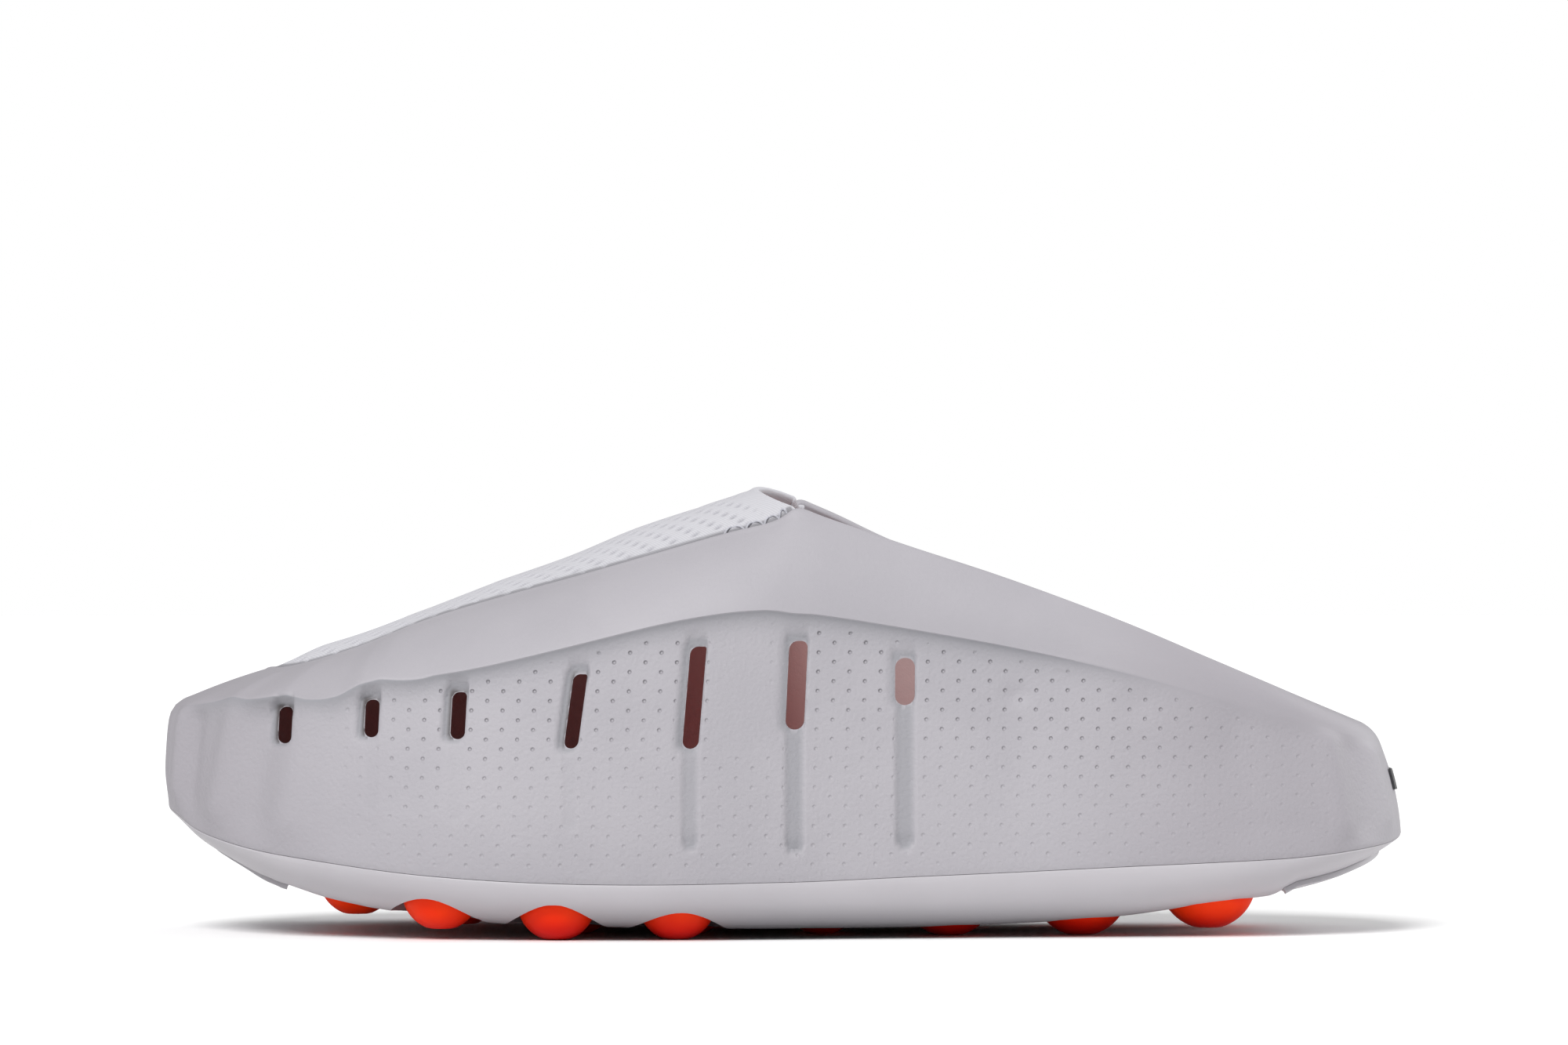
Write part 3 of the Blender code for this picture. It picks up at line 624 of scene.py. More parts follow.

# %% [markdown]
# The finish needs to know where the panel is grained and where it has pits. It also
# needs to know where shade is painted: in the recesses, under the ridge and in the
# scoops beside the slots, and on the lining, which gets a painted reflection of the
# footbed. These marks are stored on the vertices as numbers from 0 to 1, so every
# pattern follows the shape.

# %% Marks for the cage's finish
x_mm = plain[..., 0] / MM
z_mm = plain[..., 2] / MM
grained = ease(drop / (2.5 * MM))
dimpled = ease((drop - 2.2 * MM) / (1.2 * MM)) * ease((run - 2.0 * MM) / (1.5 * MM))
dimpled *= ease((x_mm + 119) / 42) * ease((136 - x_mm) / 10)
dimpled *= mix(0.3, 1.0, ease((118 - x_mm) / 50))
dimpled *= 1 - ease(slot_depth / (0.12 * MM))
bare_patch = ease((x_mm + 18.5) / 2) * ease((-1.0 - x_mm) / 2) * ease((z_mm - 44) / 2)
dimpled *= 1 - bare_patch * (plain[..., 1] < 0)
dimpled *= mix(0.35, 1.0, ease(1 - (drop - 6 * MM) / (34 * MM)))


def whole_skin(values):
    """The values of the outside, and 0 on the lip, the lining and the closing row."""
    rest = np.zeros((len(cage_points) - len(values), values.shape[1]))
    return np.concatenate([values, rest])


inner_rows = slice(len(heights) + len(lip), len(cage_points) - 1)
# The lining's mark sets a painted red reflection of the footbed on the lower inner wall, and
# painted shade towards the toe and up towards the rim.
lining_reflection_and_shade = np.zeros(cage_points.shape[:2])
lining_reflection_and_shade[inner_rows] = mix(0.5, 1.0, ease((cage_points[inner_rows, :, 0] + 0.060) / 0.045))
lining_reflection_and_shade[inner_rows] *= ease((1.25 - lining_rows) / 0.35)
# Painted shade: the colour is darker in the recesses round the slots and in the cove under the
# ridge.
recess_shade = ease(slot_depth / (1.0 * MM)) * 0.75
shade_under_ridge = 0.95 * ridge_strength(places) * np.exp(-drop / (2.6 * MM)) * (heights < 1)
recess_shade = np.maximum(recess_shade, shade_under_ridge)
# Painted shade: the deepest parts of the scoops beside the slots are coloured nearly black.
shaded = ease((slot_depth - 1.1 * MM) / (1.9 * MM))
marks = {
    "shaded": whole_skin(shaded),
    "grained": whole_skin(grained),
    "dimpled": whole_skin(dimpled),
    "recess_shade": whole_skin(recess_shade),
    "lining_reflection_and_shade": lining_reflection_and_shade,
}
cage = skin("cage_shell", cage_points, marks)
print("cage:", count_triangles(cage), "triangles before the slots")

# %% [markdown]
# The holes themselves are cut with a Boolean. Each cutter is one face whose corners
# are beveled, round at the foot and on the toe side, tighter at the top behind, and
# the face is then extruded from the middle of the shoe out through the wall.

# %% Cut the slots
CORNER_STEPS = 7
CUTTER_LENGTH = 1.5 * HALF_WIDTH


def slot_face(slot):
    """One face with the outline of a slot, in a bmesh of its own."""
    at, foot, top, width, lean = slot[:5]
    outline = bmesh.new()
    made = bmesh.ops.create_grid(outline, x_segments=1, y_segments=1, size=0.5)["verts"]
    radius = {}
    for vertex in made:
        high, behind = vertex.co.y > 0, vertex.co.x > 0
        radius[vertex] = min(slot[8], 0.49 * width) if high and behind else 0.49 * width
        x = at + (width / 2 if behind else -width / 2) + (lean if high else 0.0)
        vertex.co = (x, 0.0, top if high else foot)
    for vertex in made:
        bmesh.ops.bevel(
            outline, geom=[vertex], offset=radius[vertex], offset_type="OFFSET",
            affect="VERTICES", segments=CORNER_STEPS, profile=0.5, material=-1,
        )
    return outline


cutters = bmesh.new()
for side, slots in SIDES:
    for slot in slots:
        single = slot_face(slot)
        raised = bmesh.ops.extrude_face_region(single, geom=single.faces[:])
        moved = [item for item in raised["geom"] if isinstance(item, bmesh.types.BMVert)]
        bmesh.ops.translate(single, verts=moved, vec=(0.0, side * CUTTER_LENGTH, 0.0))
        bmesh.ops.recalc_face_normals(single, faces=single.faces)
        add_shape(cutters, single)
cut_with(cage, cutters)
cage.data.set_sharp_from_angle(angle=math.radians(38.0))
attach(cage, "root")
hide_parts("upper")
print("cage:", count_triangles(cage), "triangles")

# %% [markdown]
# The vamp is a piece of knit stretched over the instep. Its margins are tucked under
# the cage's throat edge, it puffs up a little beside that edge, and its top edge is
# folded over. It is one closed skin: the upper face, a turned edge, and the lower face.

# %% Form of the vamp
CROWNS = np.array([
    (0.00, 0.00), (0.13, 0.00), (0.31, 0.00), (0.51, 0.02), (0.53, 0.05), (0.52, 0.10),
    (0.62, 0.19), (0.76, 0.33), (0.98, 0.51), (1.00, 0.70), (0.96, 0.86), (0.63, 1.00),
])
VAMP_RISE = 9.0 * MM
VAMP_BOW = 10.7 * MM
VAMP_FOLD = 0.2 * MM
# change of the vamp's height at each section up to the peak, in mm
VAMP_TRIM = (0.8, 0.8, 0.7, 0.8, 0.35, -0.15, 0.15, -0.25, -0.65, -1.05, -0.1, -0.55)
VAMP_THICKNESS = 2.2 * MM
VAMP_MARGIN = 1.8
VAMP_ROUNDNESS = 2.2
PUFF = 1.7 * MM
PUFF_START = 1.8 * MM
PUFF_REACH = 7.0 * MM
GROOVE_DEPTH = 0.8 * MM
GROOVE_PLACE = 1.5 * MM
FAR_LIFT = 0.7 * MM


def crown_at(place, which):
    total = 0.0
    for step, weight in SOFTEN_STEPS:
        at = np.clip(place + step * SOFTEN, 0.0, PEAK)
        first = np.minimum(np.floor(at).astype(int), PEAK - 1)
        near = [CROWNS[np.clip(first + shift, 0, PEAK), which] for shift in (-1, 0, 1, 2)]
        total = total + weight * curve_between(near, at - first)
    return total


def vamp_face(place, across):
    """Upper face of the vamp between its two seams; across goes from -1 to 1."""
    under = RIM_WALL + FIT
    rim_height = np.full_like(place, 2.0)
    outer = wall(place, rim_height, under)[:, None]
    inner = wall(other_side(place), rim_height, under)[:, None]
    chord = mix(outer, inner, ((across + 1) / 2)[None, :, None])
    arch = 1 - abs(across) ** VAMP_ROUNDNESS
    fold = VAMP_FOLD * ease((place - PEAK + 0.8) / 0.4)
    trim = np.interp(place, np.arange(PEAK + 1), VAMP_TRIM) * MM
    rise = (crown_at(place, 0) * VAMP_RISE + fold + trim)[:, None] * arch
    far = FAR_LIFT * ease((place - PEAK + 1.0) / 0.9)[:, None] * ease((across - 0.05) / 0.5)
    far = far * ease((1 - across) / 0.3)
    from_seam = length_of(inner - outer) / 2 * (1 - abs(across))
    puff = PUFF * ease((from_seam - PUFF_START) / (1.4 * MM)) * np.exp(-from_seam / PUFF_REACH)
    puff -= GROOVE_DEPTH * bump_at(from_seam, GROOVE_PLACE, 0.6 * MM)
    bow = (crown_at(place, 1) * VAMP_BOW)[:, None] * arch
    return chord + stack(-bow, 0.0, rise + far + puff)


def vamp_hem(place, side_place, share):
    """Hidden margin between the seam, share 0, and the hem under the cage, share 1."""
    height = mix(2.0, VAMP_MARGIN, share)
    return wall(side_place, np.full_like(place, height), thickness(height) + FIT)


# %% Skin of the vamp
VAMP_TIP = 0.06
VAMP_ROWS = 236
VAMP_COLUMNS = 105
CROWDING = math.pi / 2 * 0.72
HEM_STEPS = (1.0, 0.66, 0.33)
vamp_places = np.linspace(VAMP_TIP, PEAK, VAMP_ROWS)
vamp_across = np.sin(np.linspace(-1.0, 1.0, VAMP_COLUMNS) * CROWDING) / math.sin(CROWDING)
face = vamp_face(vamp_places, vamp_across)
inner_places = other_side(vamp_places)
outer_hem = [vamp_hem(vamp_places, vamp_places, share) for share in HEM_STEPS]
inner_hem = [vamp_hem(vamp_places, inner_places, share) for share in HEM_STEPS[::-1]]
upper_face = np.concatenate([np.stack(outer_hem, 1), face, np.stack(inner_hem, 1)], axis=1)
along_arc = np.cumsum(length_of(np.diff(upper_face, axis=0, prepend=upper_face[:1])), axis=0)
across_arc = np.cumsum(length_of(np.diff(upper_face, axis=1, prepend=upper_face[:, :1])), axis=1)
across_arc -= across_arc[:, across_arc.shape[1] // 2, None]
cloth = stack(along_arc, across_arc, 0.0)
print("vamp face:", upper_face.shape[:2], "length", along_arc.max().round(4), "m")

# %% [markdown]
# The knit has soft oval dimples in staggered rows. They are big enough to show in the
# outline, so they are pressed into the mesh. Small holes beside the bar tacks, where
# the needle went in, are pressed in too.

# %% Dimples and needle holes of the vamp
KNIT_PITCH = (2.8 * MM, 6.0 * MM)
KNIT_DIMPLE = 0.9 * MM
DIMPLE_RADII = (0.62 * MM, 0.80 * MM)
PLAIN_MARGIN = 8.0 * MM
HOLE_DEPTH = 0.7 * MM
HOLE_RADIUS = 0.5 * MM
TACK_PLACES = np.linspace(9.05, 10.62, 9)
TACK_ROWS = (3.5 * MM, 5.2 * MM)


def lattice(first, second, pitch_first, pitch_second):
    """Distances to the nearest point of a staggered lattice, along both directions."""
    cell = np.round(first / pitch_first)
    shifted = second / pitch_second + 0.5 * np.mod(cell, 2)
    return first - cell * pitch_first, (shifted - np.round(shifted)) * pitch_second


def normals_of(points):
    down = np.gradient(points, axis=0)
    right = np.gradient(points, axis=1)
    return unit(np.cross(right, down))


first, second = lattice(along_arc, across_arc, *KNIT_PITCH)
pits = bump_at(first, 0.0, DIMPLE_RADII[0]) * bump_at(second, 0.0, DIMPLE_RADII[1])
edge_distance = np.minimum(across_arc - across_arc[:, :1], across_arc[:, -1:] - across_arc)
shown_along = ease(vamp_places - 1.5) * ease((10.1 - vamp_places) / 0.5)
shown = ease((edge_distance - PLAIN_MARGIN) / (2 * MM)) * shown_along[:, None]
vamp_normals = normals_of(upper_face)
if vamp_normals[len(vamp_places) // 2, upper_face.shape[1] // 2, 2] < 0:
    vamp_normals = -vamp_normals
upper_face = upper_face - vamp_normals * (KNIT_DIMPLE * pits * shown)[..., None]

# %% [markdown]
# A bar tack is a short zigzag of thick thread that fastens the end of a seam. The
# needle's path is laid on the vamp first: over the cloth between two holes, then down
# into the cloth at each hole.

# %% Paths of the bar tacks
def tack_path(side):
    """Points of the zigzag on one side, with the places of its needle holes."""
    seam_places = TACK_PLACES if side < 0 else other_side(TACK_PLACES)
    seam = wall(seam_places, np.full_like(TACK_PLACES, 2.0), RIM_WALL)
    holes = []
    for number, place in enumerate(TACK_PLACES):
        across = np.linspace(0.70, 0.995, 60) * side
        line = vamp_face(np.array([place]), across)[0]
        away = length_of(line - seam[number])
        row = TACK_ROWS[number % 2]
        holes.append(line[np.argmin(abs(away - row))])
    return np.array(holes)


tack_holes = {side: tack_path(side) for side in (-1, 1)}
for side, holes in tack_holes.items():
    for hole in holes:
        away = length_of(upper_face - hole)
        pressed = HOLE_DEPTH * bump_at(away, 0.0, HOLE_RADIUS)
        upper_face = upper_face - vamp_normals * pressed[..., None]
print("needle holes:", sum(len(holes) for holes in tack_holes.values()))

# %% [markdown]
# The lower face lies one cloth thickness under the upper one, and a rounded turn joins
# them at the fold. The cloth's own coordinates are stored as a mark for the finish, and
# so are the places of painted shade: in the dimples, and in a line along the seam.

# %% Close the vamp
SEAM_SHADE = 1.05 * MM
SEAM_FADE = 0.5 * MM
SEAM_REACH = 9.0 * MM
edge_share = np.minimum(np.arange(upper_face.shape[1]), np.arange(upper_face.shape[1])[::-1])
cloth_thickness = VAMP_THICKNESS * ease(edge_share / 2.0)
lower_face = upper_face - vamp_normals * cloth_thickness[None, :, None]
onward = unit(upper_face[-1] - upper_face[-3])
turn = rounded_edge(upper_face[-1], lower_face[-1], onward, VAMP_THICKNESS * 0.55, 7)
vamp_points = np.concatenate([upper_face, turn, lower_face[::-1], upper_face[:1]])
turn_cloth = np.repeat(cloth[-1:], len(turn), axis=0)
vamp_cloth = np.concatenate([cloth, turn_cloth, cloth[::-1], cloth[:1]])
# Painted shade: the knit's dimples are marked so that the finish colours them darker.
pit_shade_values = np.zeros(vamp_points.shape[:2])
pit_shade_values[: len(vamp_places)] = pits * shown
lip_rise = form(vamp_places, np.full_like(vamp_places, 2.0))[:, 2]
lip_fall = form(other_side(vamp_places), np.full_like(vamp_places, 2.0))[:, 2]
half_chord = length_of(face[:, -1] - face[:, 0]) / 2
from_seam = half_chord[:, None] * (1 - abs(vamp_across))
# Painted shade: the knit is darkened where it lies lower than the cage's lip near the seam.
level = np.where(vamp_across < 0, lip_rise[:, None], lip_fall[:, None]) + SEAM_SHADE
seam = ease((level - face[..., 2]) / SEAM_FADE) * ease((SEAM_REACH - from_seam) / (2 * MM))
seam_shade_values = np.zeros(vamp_points.shape[:2])
seam_shade_values[: len(vamp_places), len(HEM_STEPS) : -len(HEM_STEPS)] = seam
vamp_marks = {"cloth": vamp_cloth, "knit_pit_shade": pit_shade_values, "seam_shadow": seam_shade_values}
vamp = skin("vamp_knit", vamp_points, vamp_marks)
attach(vamp, "root")
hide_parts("vamp")
down = np.diff(upper_face, axis=0)[:, :-1]
right = np.diff(upper_face, axis=1)[:-1]
face_area = float(length_of(np.cross(down, right)).sum())
print("vamp:", count_triangles(vamp), "triangles, area", round(face_area, 5))

# %% Thread of the bar tacks
THREAD = 0.30 * MM
THREAD_RISE = 0.42 * MM
thread_curve = bpy.data.curves.new("bar tacks", "CURVE")
thread_curve.dimensions = "3D"
thread_curve.bevel_depth = THREAD
thread_curve.bevel_resolution = 3
for side, holes in tack_holes.items():
    for start, end in zip(holes, holes[1:]):
        lift = THREAD_RISE * unit(np.array([0.0, 0.35 * side, 1.0]))
        spline = thread_curve.splines.new("BEZIER")
        spline.bezier_points.add(2)
        stops = (start - lift * 0.9, (start + end) / 2 + lift, end - lift * 0.9)
        for point, stop in zip(spline.bezier_points, stops):
            point.co = stop
            point.handle_left_type = point.handle_right_type = "AUTO"
thread_curve.use_fill_caps = True
path = add_piece("thread path", thread_curve)
seen = path.evaluated_get(bpy.context.evaluated_depsgraph_get())
tack_data = bpy.data.meshes.new_from_object(seen)
bpy.data.objects.remove(path)
tack_data.name = "bar_tacks"
tacks = add_piece("bar_tacks", tack_data)
tacks.data.shade_smooth()
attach(tacks, "root")
print("bar tacks:", count_triangles(tacks), "triangles")

# %% [markdown]
# The footbed is a thin foam board inside the cage. Its edge stands beside the wall, and
# its top dips softly towards the middle, so a foot is cradled. It is a closed skin
# again: across the top, round the edges and back under.

# %% Footbed
FOOTBED_THICKNESS = 4.0 * MM
FOOTBED_DISH = 1.2 * MM
PLATFORM_RISE = 1.5 * MM
SOLE_TUCK = 13.0 * MM
bed_places = np.linspace(0.0, HEEL, 201)


def beside_wall(place, height):
    """Points beside the cage's inner wall at a height over the floor."""
    low = form(place, np.zeros_like(place))[:, 2]
    ridge = form(place, np.ones_like(place))[:, 2]
    share = np.clip((height - low) / (ridge - low), 0.0, 1.0)
    point = wall(place, share, np.full_like(place, WALL + FOOTBED_GAP))
    point[:, 2] = height
    return point


bed_low = base(bed_places)[:, 2] + PLATFORM_RISE + FIT
bed_top = bed_low + FOOTBED_THICKNESS
edges = [beside_wall(side, bed_top) for side in (bed_places, other_side(bed_places))]
widths = length_of(edges[1] - edges[0])[:, None]
shares = (1 - np.cos(np.linspace(0.0, math.pi, 45))) / 2
top_points = mix(edges[0][:, None], edges[1][:, None], shares[None, :, None])
from_edge = widths * np.minimum(shares, 1 - shares)[None, :]
rounding = 1.0 * MM * (1 - np.sqrt(1 - ease(1 - from_edge / (1.2 * MM)) ** 2 * 0.999))
dish = FOOTBED_DISH * ease(from_edge / SOLE_TUCK)
top_points[..., 2] -= dish + rounding
low_points = mix(edges[1][:, None], edges[0][:, None], np.linspace(0.0, 1.0, 9)[None, :, None])
low_points[..., 2] = bed_low[:, None]
bed_points = np.concatenate([top_points, low_points, top_points[:, :1]], axis=1)
footbed = skin("footbed", bed_points)
footbed.data.set_sharp_from_angle(angle=math.radians(50.0))
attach(footbed, "root")
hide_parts("insole")
print("footbed:", count_triangles(footbed), "triangles")

# %% [markdown]
# The sole is the carrier under the cage: a ledge along the parting line, a round side
# and a rocker underside that lifts at toe and heel. Its skin goes round each section
# once, and the cups for the studs are cut into it afterwards.

# %% Form of the underside
SOLE_CLEARANCE = 2.4 * MM
SOLE_LIFT = 26.8 * MM
UNDERSIDE_X = np.array([
    -0.500, -0.483, -0.463, -0.443, -0.427, -0.410, -0.397, -0.363, -0.327, -0.273, -0.223, -0.123,
    0.000, 0.100, 0.203, 0.270, 0.350, 0.387, 0.400, 0.430, 0.453, 0.478, 0.500,
])
UNDERSIDE_LIFT = np.array([
    1.000, 0.847, 0.716, 0.620, 0.530, 0.430, 0.373, 0.261, 0.179, 0.104, 0.052, 0.019,
    0.000, 0.004, 0.041, 0.097, 0.220, 0.269, 0.354, 0.437, 0.534, 0.642, 0.761,
])


def underside(x):
    share = np.clip(x / LENGTH, -0.5, 0.5)
    last = len(UNDERSIDE_X) - 1
    index = np.clip(np.searchsorted(UNDERSIDE_X, share) - 1, 0, last - 1)
    near = [UNDERSIDE_LIFT[np.clip(index + step, 0, last)] for step in (-1, 0, 1, 2)]
    span = UNDERSIDE_X[index + 1] - UNDERSIDE_X[index]
    return SOLE_CLEARANCE + SOLE_LIFT * curve_between(near, (share - UNDERSIDE_X[index]) / span)


# %% Skin of the sole
SIDE_STEPS = 16
UNDER_STEPS = 56
LEDGE_ROUNDING = 0.2 * MM
SEAM_GAP = 0.1 * MM
sole_places = np.linspace(0.0, HEEL, 261)


def sole_half(place):
    """Points of one side from the platform down to the start of the underside."""
    out = outward(place)
    low = base(place)
    shelf = low[:, 2] - SEAM_GAP
    foot = low - out * (WALL + FOOTBED_GAP)
    foot[:, 2] = shelf
    platform = foot.copy()
    platform[:, 2] = low[:, 2] + PLATFORM_RISE
    corner = low - out * LEDGE_ROUNDING
    corner[:, 2] = shelf
    edge = low - out * SOLE_TUCK
    edge[:, 2] = underside(edge[:, 0])
    roundness = abs(out[:, 1])
    points = [platform, foot, corner]
    for share in np.linspace(0.03, 1.0, SIDE_STEPS):
        angle = share * math.pi / 2
        point = low - out * (SOLE_TUCK * mix(share, 1 - math.cos(angle), roundness))[:, None]
        point[:, 2] = mix(shelf, edge[:, 2], mix(share, math.sin(angle), roundness))
        points.append(point)
    return np.stack(points, axis=1)


outer_half = sole_half(sole_places)
inner_half = sole_half(other_side(sole_places))
shares = np.linspace(0.0, 1.0, UNDER_STEPS)[1:-1]
under = mix(outer_half[:, -1:], inner_half[:, -1:], shares[None, :, None])
under[..., 2] = underside(under[..., 0])
sole_points = np.concatenate([outer_half, under, inner_half[:, ::-1], outer_half[:, :1]], axis=1)
sole = skin("sole_carrier", sole_points)
print("sole:", count_triangles(sole), "triangles before the cups")

# %% [markdown]
# Twenty-two round studs stand in cups in the underside. Each cup's cutter is spun from
# a half outline, like a pot on a wheel: straight walls, and a flare at the mouth that
# leaves a rounded edge in the sole.

# %% Table of studs
# x as a share of LENGTH, y as a share of HALF_WIDTH, lift as a share of SOLE_LIFT, large
STUDS = (
    (-0.343, -0.236, 0.175, False), (-0.333, 0.273, 0.175, False),
    (-0.272, -0.673, 0.090, False), (-0.258, -0.200, 0.080, False),
    (-0.250, 0.264, 0.080, False), (-0.263, 0.727, 0.090, False),
    (-0.180, -0.742, 0.0, False), (-0.167, -0.264, 0.0, False),
    (-0.163, 0.209, 0.0, False), (-0.170, 0.682, 0.0, False),
    (-0.085, -0.700, 0.0, False), (-0.075, -0.251, 0.0, False),
    (-0.073, 0.198, 0.0, False), (-0.082, 0.645, 0.0, False),
    (0.030, -0.255, 0.0, False), (0.030, 0.236, 0.0, False),
    (0.132, -0.364, 0.0, True), (0.132, 0.182, 0.0, True),
    (0.238, -0.336, 0.0, True), (0.238, 0.264, 0.0, True),
    (0.340, -0.318, 0.060, True), (0.340, 0.264, 0.060, True),
)
STUD_RADIUS = {False: 9.4 * MM, True: 11.7 * MM}
CUP_GAP = {False: 2.6 * MM, True: 1.8 * MM}
STUD_TREAD = 2.8 * MM
ROUND_STEPS = 56


def spun(mesh, outline):
    """Turns a half outline of (distance from the axis, height) right round the axis."""
    verts = [mesh.verts.new((across, 0.0, up)) for across, up in outline]
    edges = [mesh.edges.new(pair) for pair in zip(verts, verts[1:])]
    bmesh.ops.spin(
        mesh,
        geom=verts + edges,
        cent=(0.0, 0.0, 0.0),
        axis=(0.0, 0.0, 1.0),
        angle=math.tau,
        steps=ROUND_STEPS,
        use_merge=True,
    )
    bmesh.ops.remove_doubles(mesh, verts=mesh.verts, dist=1e-6)
    bmesh.ops.recalc_face_normals(mesh, faces=mesh.faces)


def stud_height(radius):
    return math.sqrt(radius * radius - STUD_TREAD * STUD_TREAD)


# %% Cut the cups
FLARE = {False: 0.28 * MM, True: 0.9 * MM}
CUP_ROUNDING = 0.6 * MM
CUTTER_BELOW = 12.0 * MM


def cup_outline(radius, flare, top, mouth):
    """Flat top with a rounded corner, a straight side and a flared mouth."""
    outline = [(0.0, top), (radius - CUP_ROUNDING, top), (radius, top - CUP_ROUNDING)]
    for step in range(7):
        angle = math.pi / 2 * step / 6
        across = radius + flare * (1 - math.cos(angle))
        outline.append((across, mouth + flare * (1 - math.sin(angle))))
    return outline + [(radius + flare, mouth - CUTTER_BELOW), (0.0, mouth - CUTTER_BELOW)]


cutters = bmesh.new()
for x, y, lift, large in STUDS:
    seat = Vector((x * LENGTH, y * HALF_WIDTH, lift * SOLE_LIFT))
    mouth = float(underside(np.array([seat.x]))[0])
    radius = STUD_RADIUS[large] + CUP_GAP[large]
    top = seat.z + stud_height(STUD_RADIUS[large]) + FIT
    cup = bmesh.new()
    spun(cup, cup_outline(radius, FLARE[large], top, mouth))
    bmesh.ops.translate(cup, verts=cup.verts, vec=(seat.x, seat.y, 0.0))
    add_shape(cutters, cup)
underside_tree = BVHTree.FromObject(sole, bpy.context.evaluated_depsgraph_get())
cut_with(sole, cutters)
sole.data.set_sharp_from_angle(angle=math.radians(35.0))
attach(sole, "root")
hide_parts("sole")
print("sole:", count_triangles(sole), "triangles")

# %% Studs
def stud_outline(radius):
    """Seat, dome and flat tread, with small roundings between them."""
    height = stud_height(radius)
    seat_round = 0.4 * MM
    outline = [(0.0, height), (radius - seat_round, height)]
    outline.append((radius - 0.1 * MM, height - 0.12 * MM))
    last_angle = math.acos(STUD_TREAD * 1.25 / radius)
    for step in range(1, 15):
        angle = 0.05 + (last_angle - 0.05) * (step - 1) / 13
        outline.append((radius * math.cos(angle), height - radius * math.sin(angle)))
    outline += [(STUD_TREAD * 0.95, 0.06 * MM), (STUD_TREAD * 0.6, 0.0), (0.0, 0.0)]
    return outline


studs = []
for number, (x, y, lift, large) in enumerate(STUDS, start=1):
    dome = bmesh.new()
    spun(dome, stud_outline(STUD_RADIUS[large]))
    bmesh.ops.translate(dome, verts=dome.verts, vec=(x * LENGTH, y * HALF_WIDTH, lift * SOLE_LIFT))
    data = to_mesh(dome, f"stud_dome_{number:02d}")
    data.shade_smooth()
    data.set_sharp_from_angle(angle=math.radians(50.0))
    stud = add_piece(f"stud_dome_{number:02d}", data)
    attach(stud, "root")
    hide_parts(f"stud_{number:02d}")
    studs.append(stud)
print("studs:", len(studs), "with", count_triangles(studs[0]), "triangles each")

# %% [markdown]
# Thin rubber pads are bonded on the underside at toe and heel. Each is a small grid
# between the shoe's outline and a straight back edge. Rays sent up from the floor find
# the sole over every vertex, so the pad follows it closely. Solidify gives the pad its
# thickness, and Bevel takes the sharpness off its rim.

# %% Pads under toe and heel
PAD_THICKNESS = 1.2 * MM
PADS = (("toe_pad", 0.0, 3.1, 0.85), ("heel_pad", float(HEEL), 3.05, 0.45))


def make_pad(name, middle, reach, inset):
    around = middle + reach * np.linspace(-1.0, 1.0, 61)
    curve = base(around) - outward(around) * SOLE_TUCK * inset
    chord = mix(curve[:1], curve[-1:], np.linspace(0.0, 1.0, 61)[:, None])
    points = mix(curve[None], chord[None], np.linspace(0.0, 1.0, 21)[:, None, None])
    for row in points:
        for point in row:
            below = Vector((point[0], point[1], -0.05))
            hit = underside_tree.ray_cast(below, Vector((0.0, 0.0, 1.0)))
            point[2] = hit[0].z if hit[0] else float(underside(np.array([point[0]]))[0])
    pad = skin(name + "_leaf", points)
    downward = pad.data.polygons[len(pad.data.polygons) // 2].normal.z < 0
    if not downward:
        pad.data.flip_normals()
    seat = pad.modifiers.new("seat gap", "DISPLACE")
    seat.strength = 0.05 * MM
    seat.mid_level = 0.0
    plate = pad.modifiers.new("thickness", "SOLIDIFY")
    plate.thickness = PAD_THICKNESS
    plate.offset = 1.0
    rounded = pad.modifiers.new("rounded rim", "BEVEL")
    rounded.width = 0.3 * MM
    rounded.segments = 2
    rounded.limit_method = "ANGLE"
    apply_modifiers(pad)
    pad.data.shade_smooth()
    pad.data.set_sharp_from_angle(angle=math.radians(40.0))
    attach(pad, "root")
    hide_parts(name)
    return pad


pads = [make_pad(*row) for row in PADS]
print("pads:", [count_triangles(pad) for pad in pads])

# %% [markdown]
# A small plain plate sits on the back of the heel. Both its faces follow the cage, and
# one closed skin goes round them.

# %% Plate on the heel
BADGE_WIDTH = 16.0 * MM
BADGE_HEIGHT = 4.7 * MM
BADGE_THICKNESS = 0.5 * MM
BADGE_GAP = 0.1 * MM
BADGE_CENTRE = 36.5 * MM
BADGE_ROWS = 11
heel_line = form(np.full(2, float(HEEL)), np.array([0.0, 1.0]))
heel_rise = heel_line[1, 2] - heel_line[0, 2]
station = length_of((base(np.array([HEEL - 1.0])) - base(np.array([float(HEEL)])))[:, :2])[0]
badge_places = HEEL + np.linspace(-0.5, 0.5, 25) * BADGE_WIDTH / station
badge_z = BADGE_CENTRE + np.linspace(-0.5, 0.5, BADGE_ROWS)[:, None] * BADGE_HEIGHT
badge_heights = (badge_z - heel_line[0, 2]) / heel_rise
badge_near = wall(badge_places, badge_heights, np.full((BADGE_ROWS, 1), -BADGE_GAP))
badge_outer = np.full((BADGE_ROWS, 1), -BADGE_GAP - BADGE_THICKNESS)
badge_far = wall(badge_places, badge_heights, badge_outer)
badge_points = np.concatenate([badge_far, badge_near[::-1], badge_far[:1]])
first_end, last_end = (
    np.repeat(badge_points[:, side].mean(axis=0)[None, None], len(badge_points), axis=0)
    for side in (0, -1)
)
badge_points = np.concatenate([first_end, badge_points, last_end], axis=1)
badge = skin("badge_plate", badge_points)
badge.data.set_sharp_from_angle(angle=math.radians(40.0))
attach(badge, "root")
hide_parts("heel_badge")
print("badge:", count_triangles(badge), "triangles")

# %% [markdown]
# Finishes are node trees, and a long chain of Math nodes is hard to read. A small class
# wraps a socket, so that adding or multiplying two wires in Python adds the node that
# does it. Every other node comes from one method.

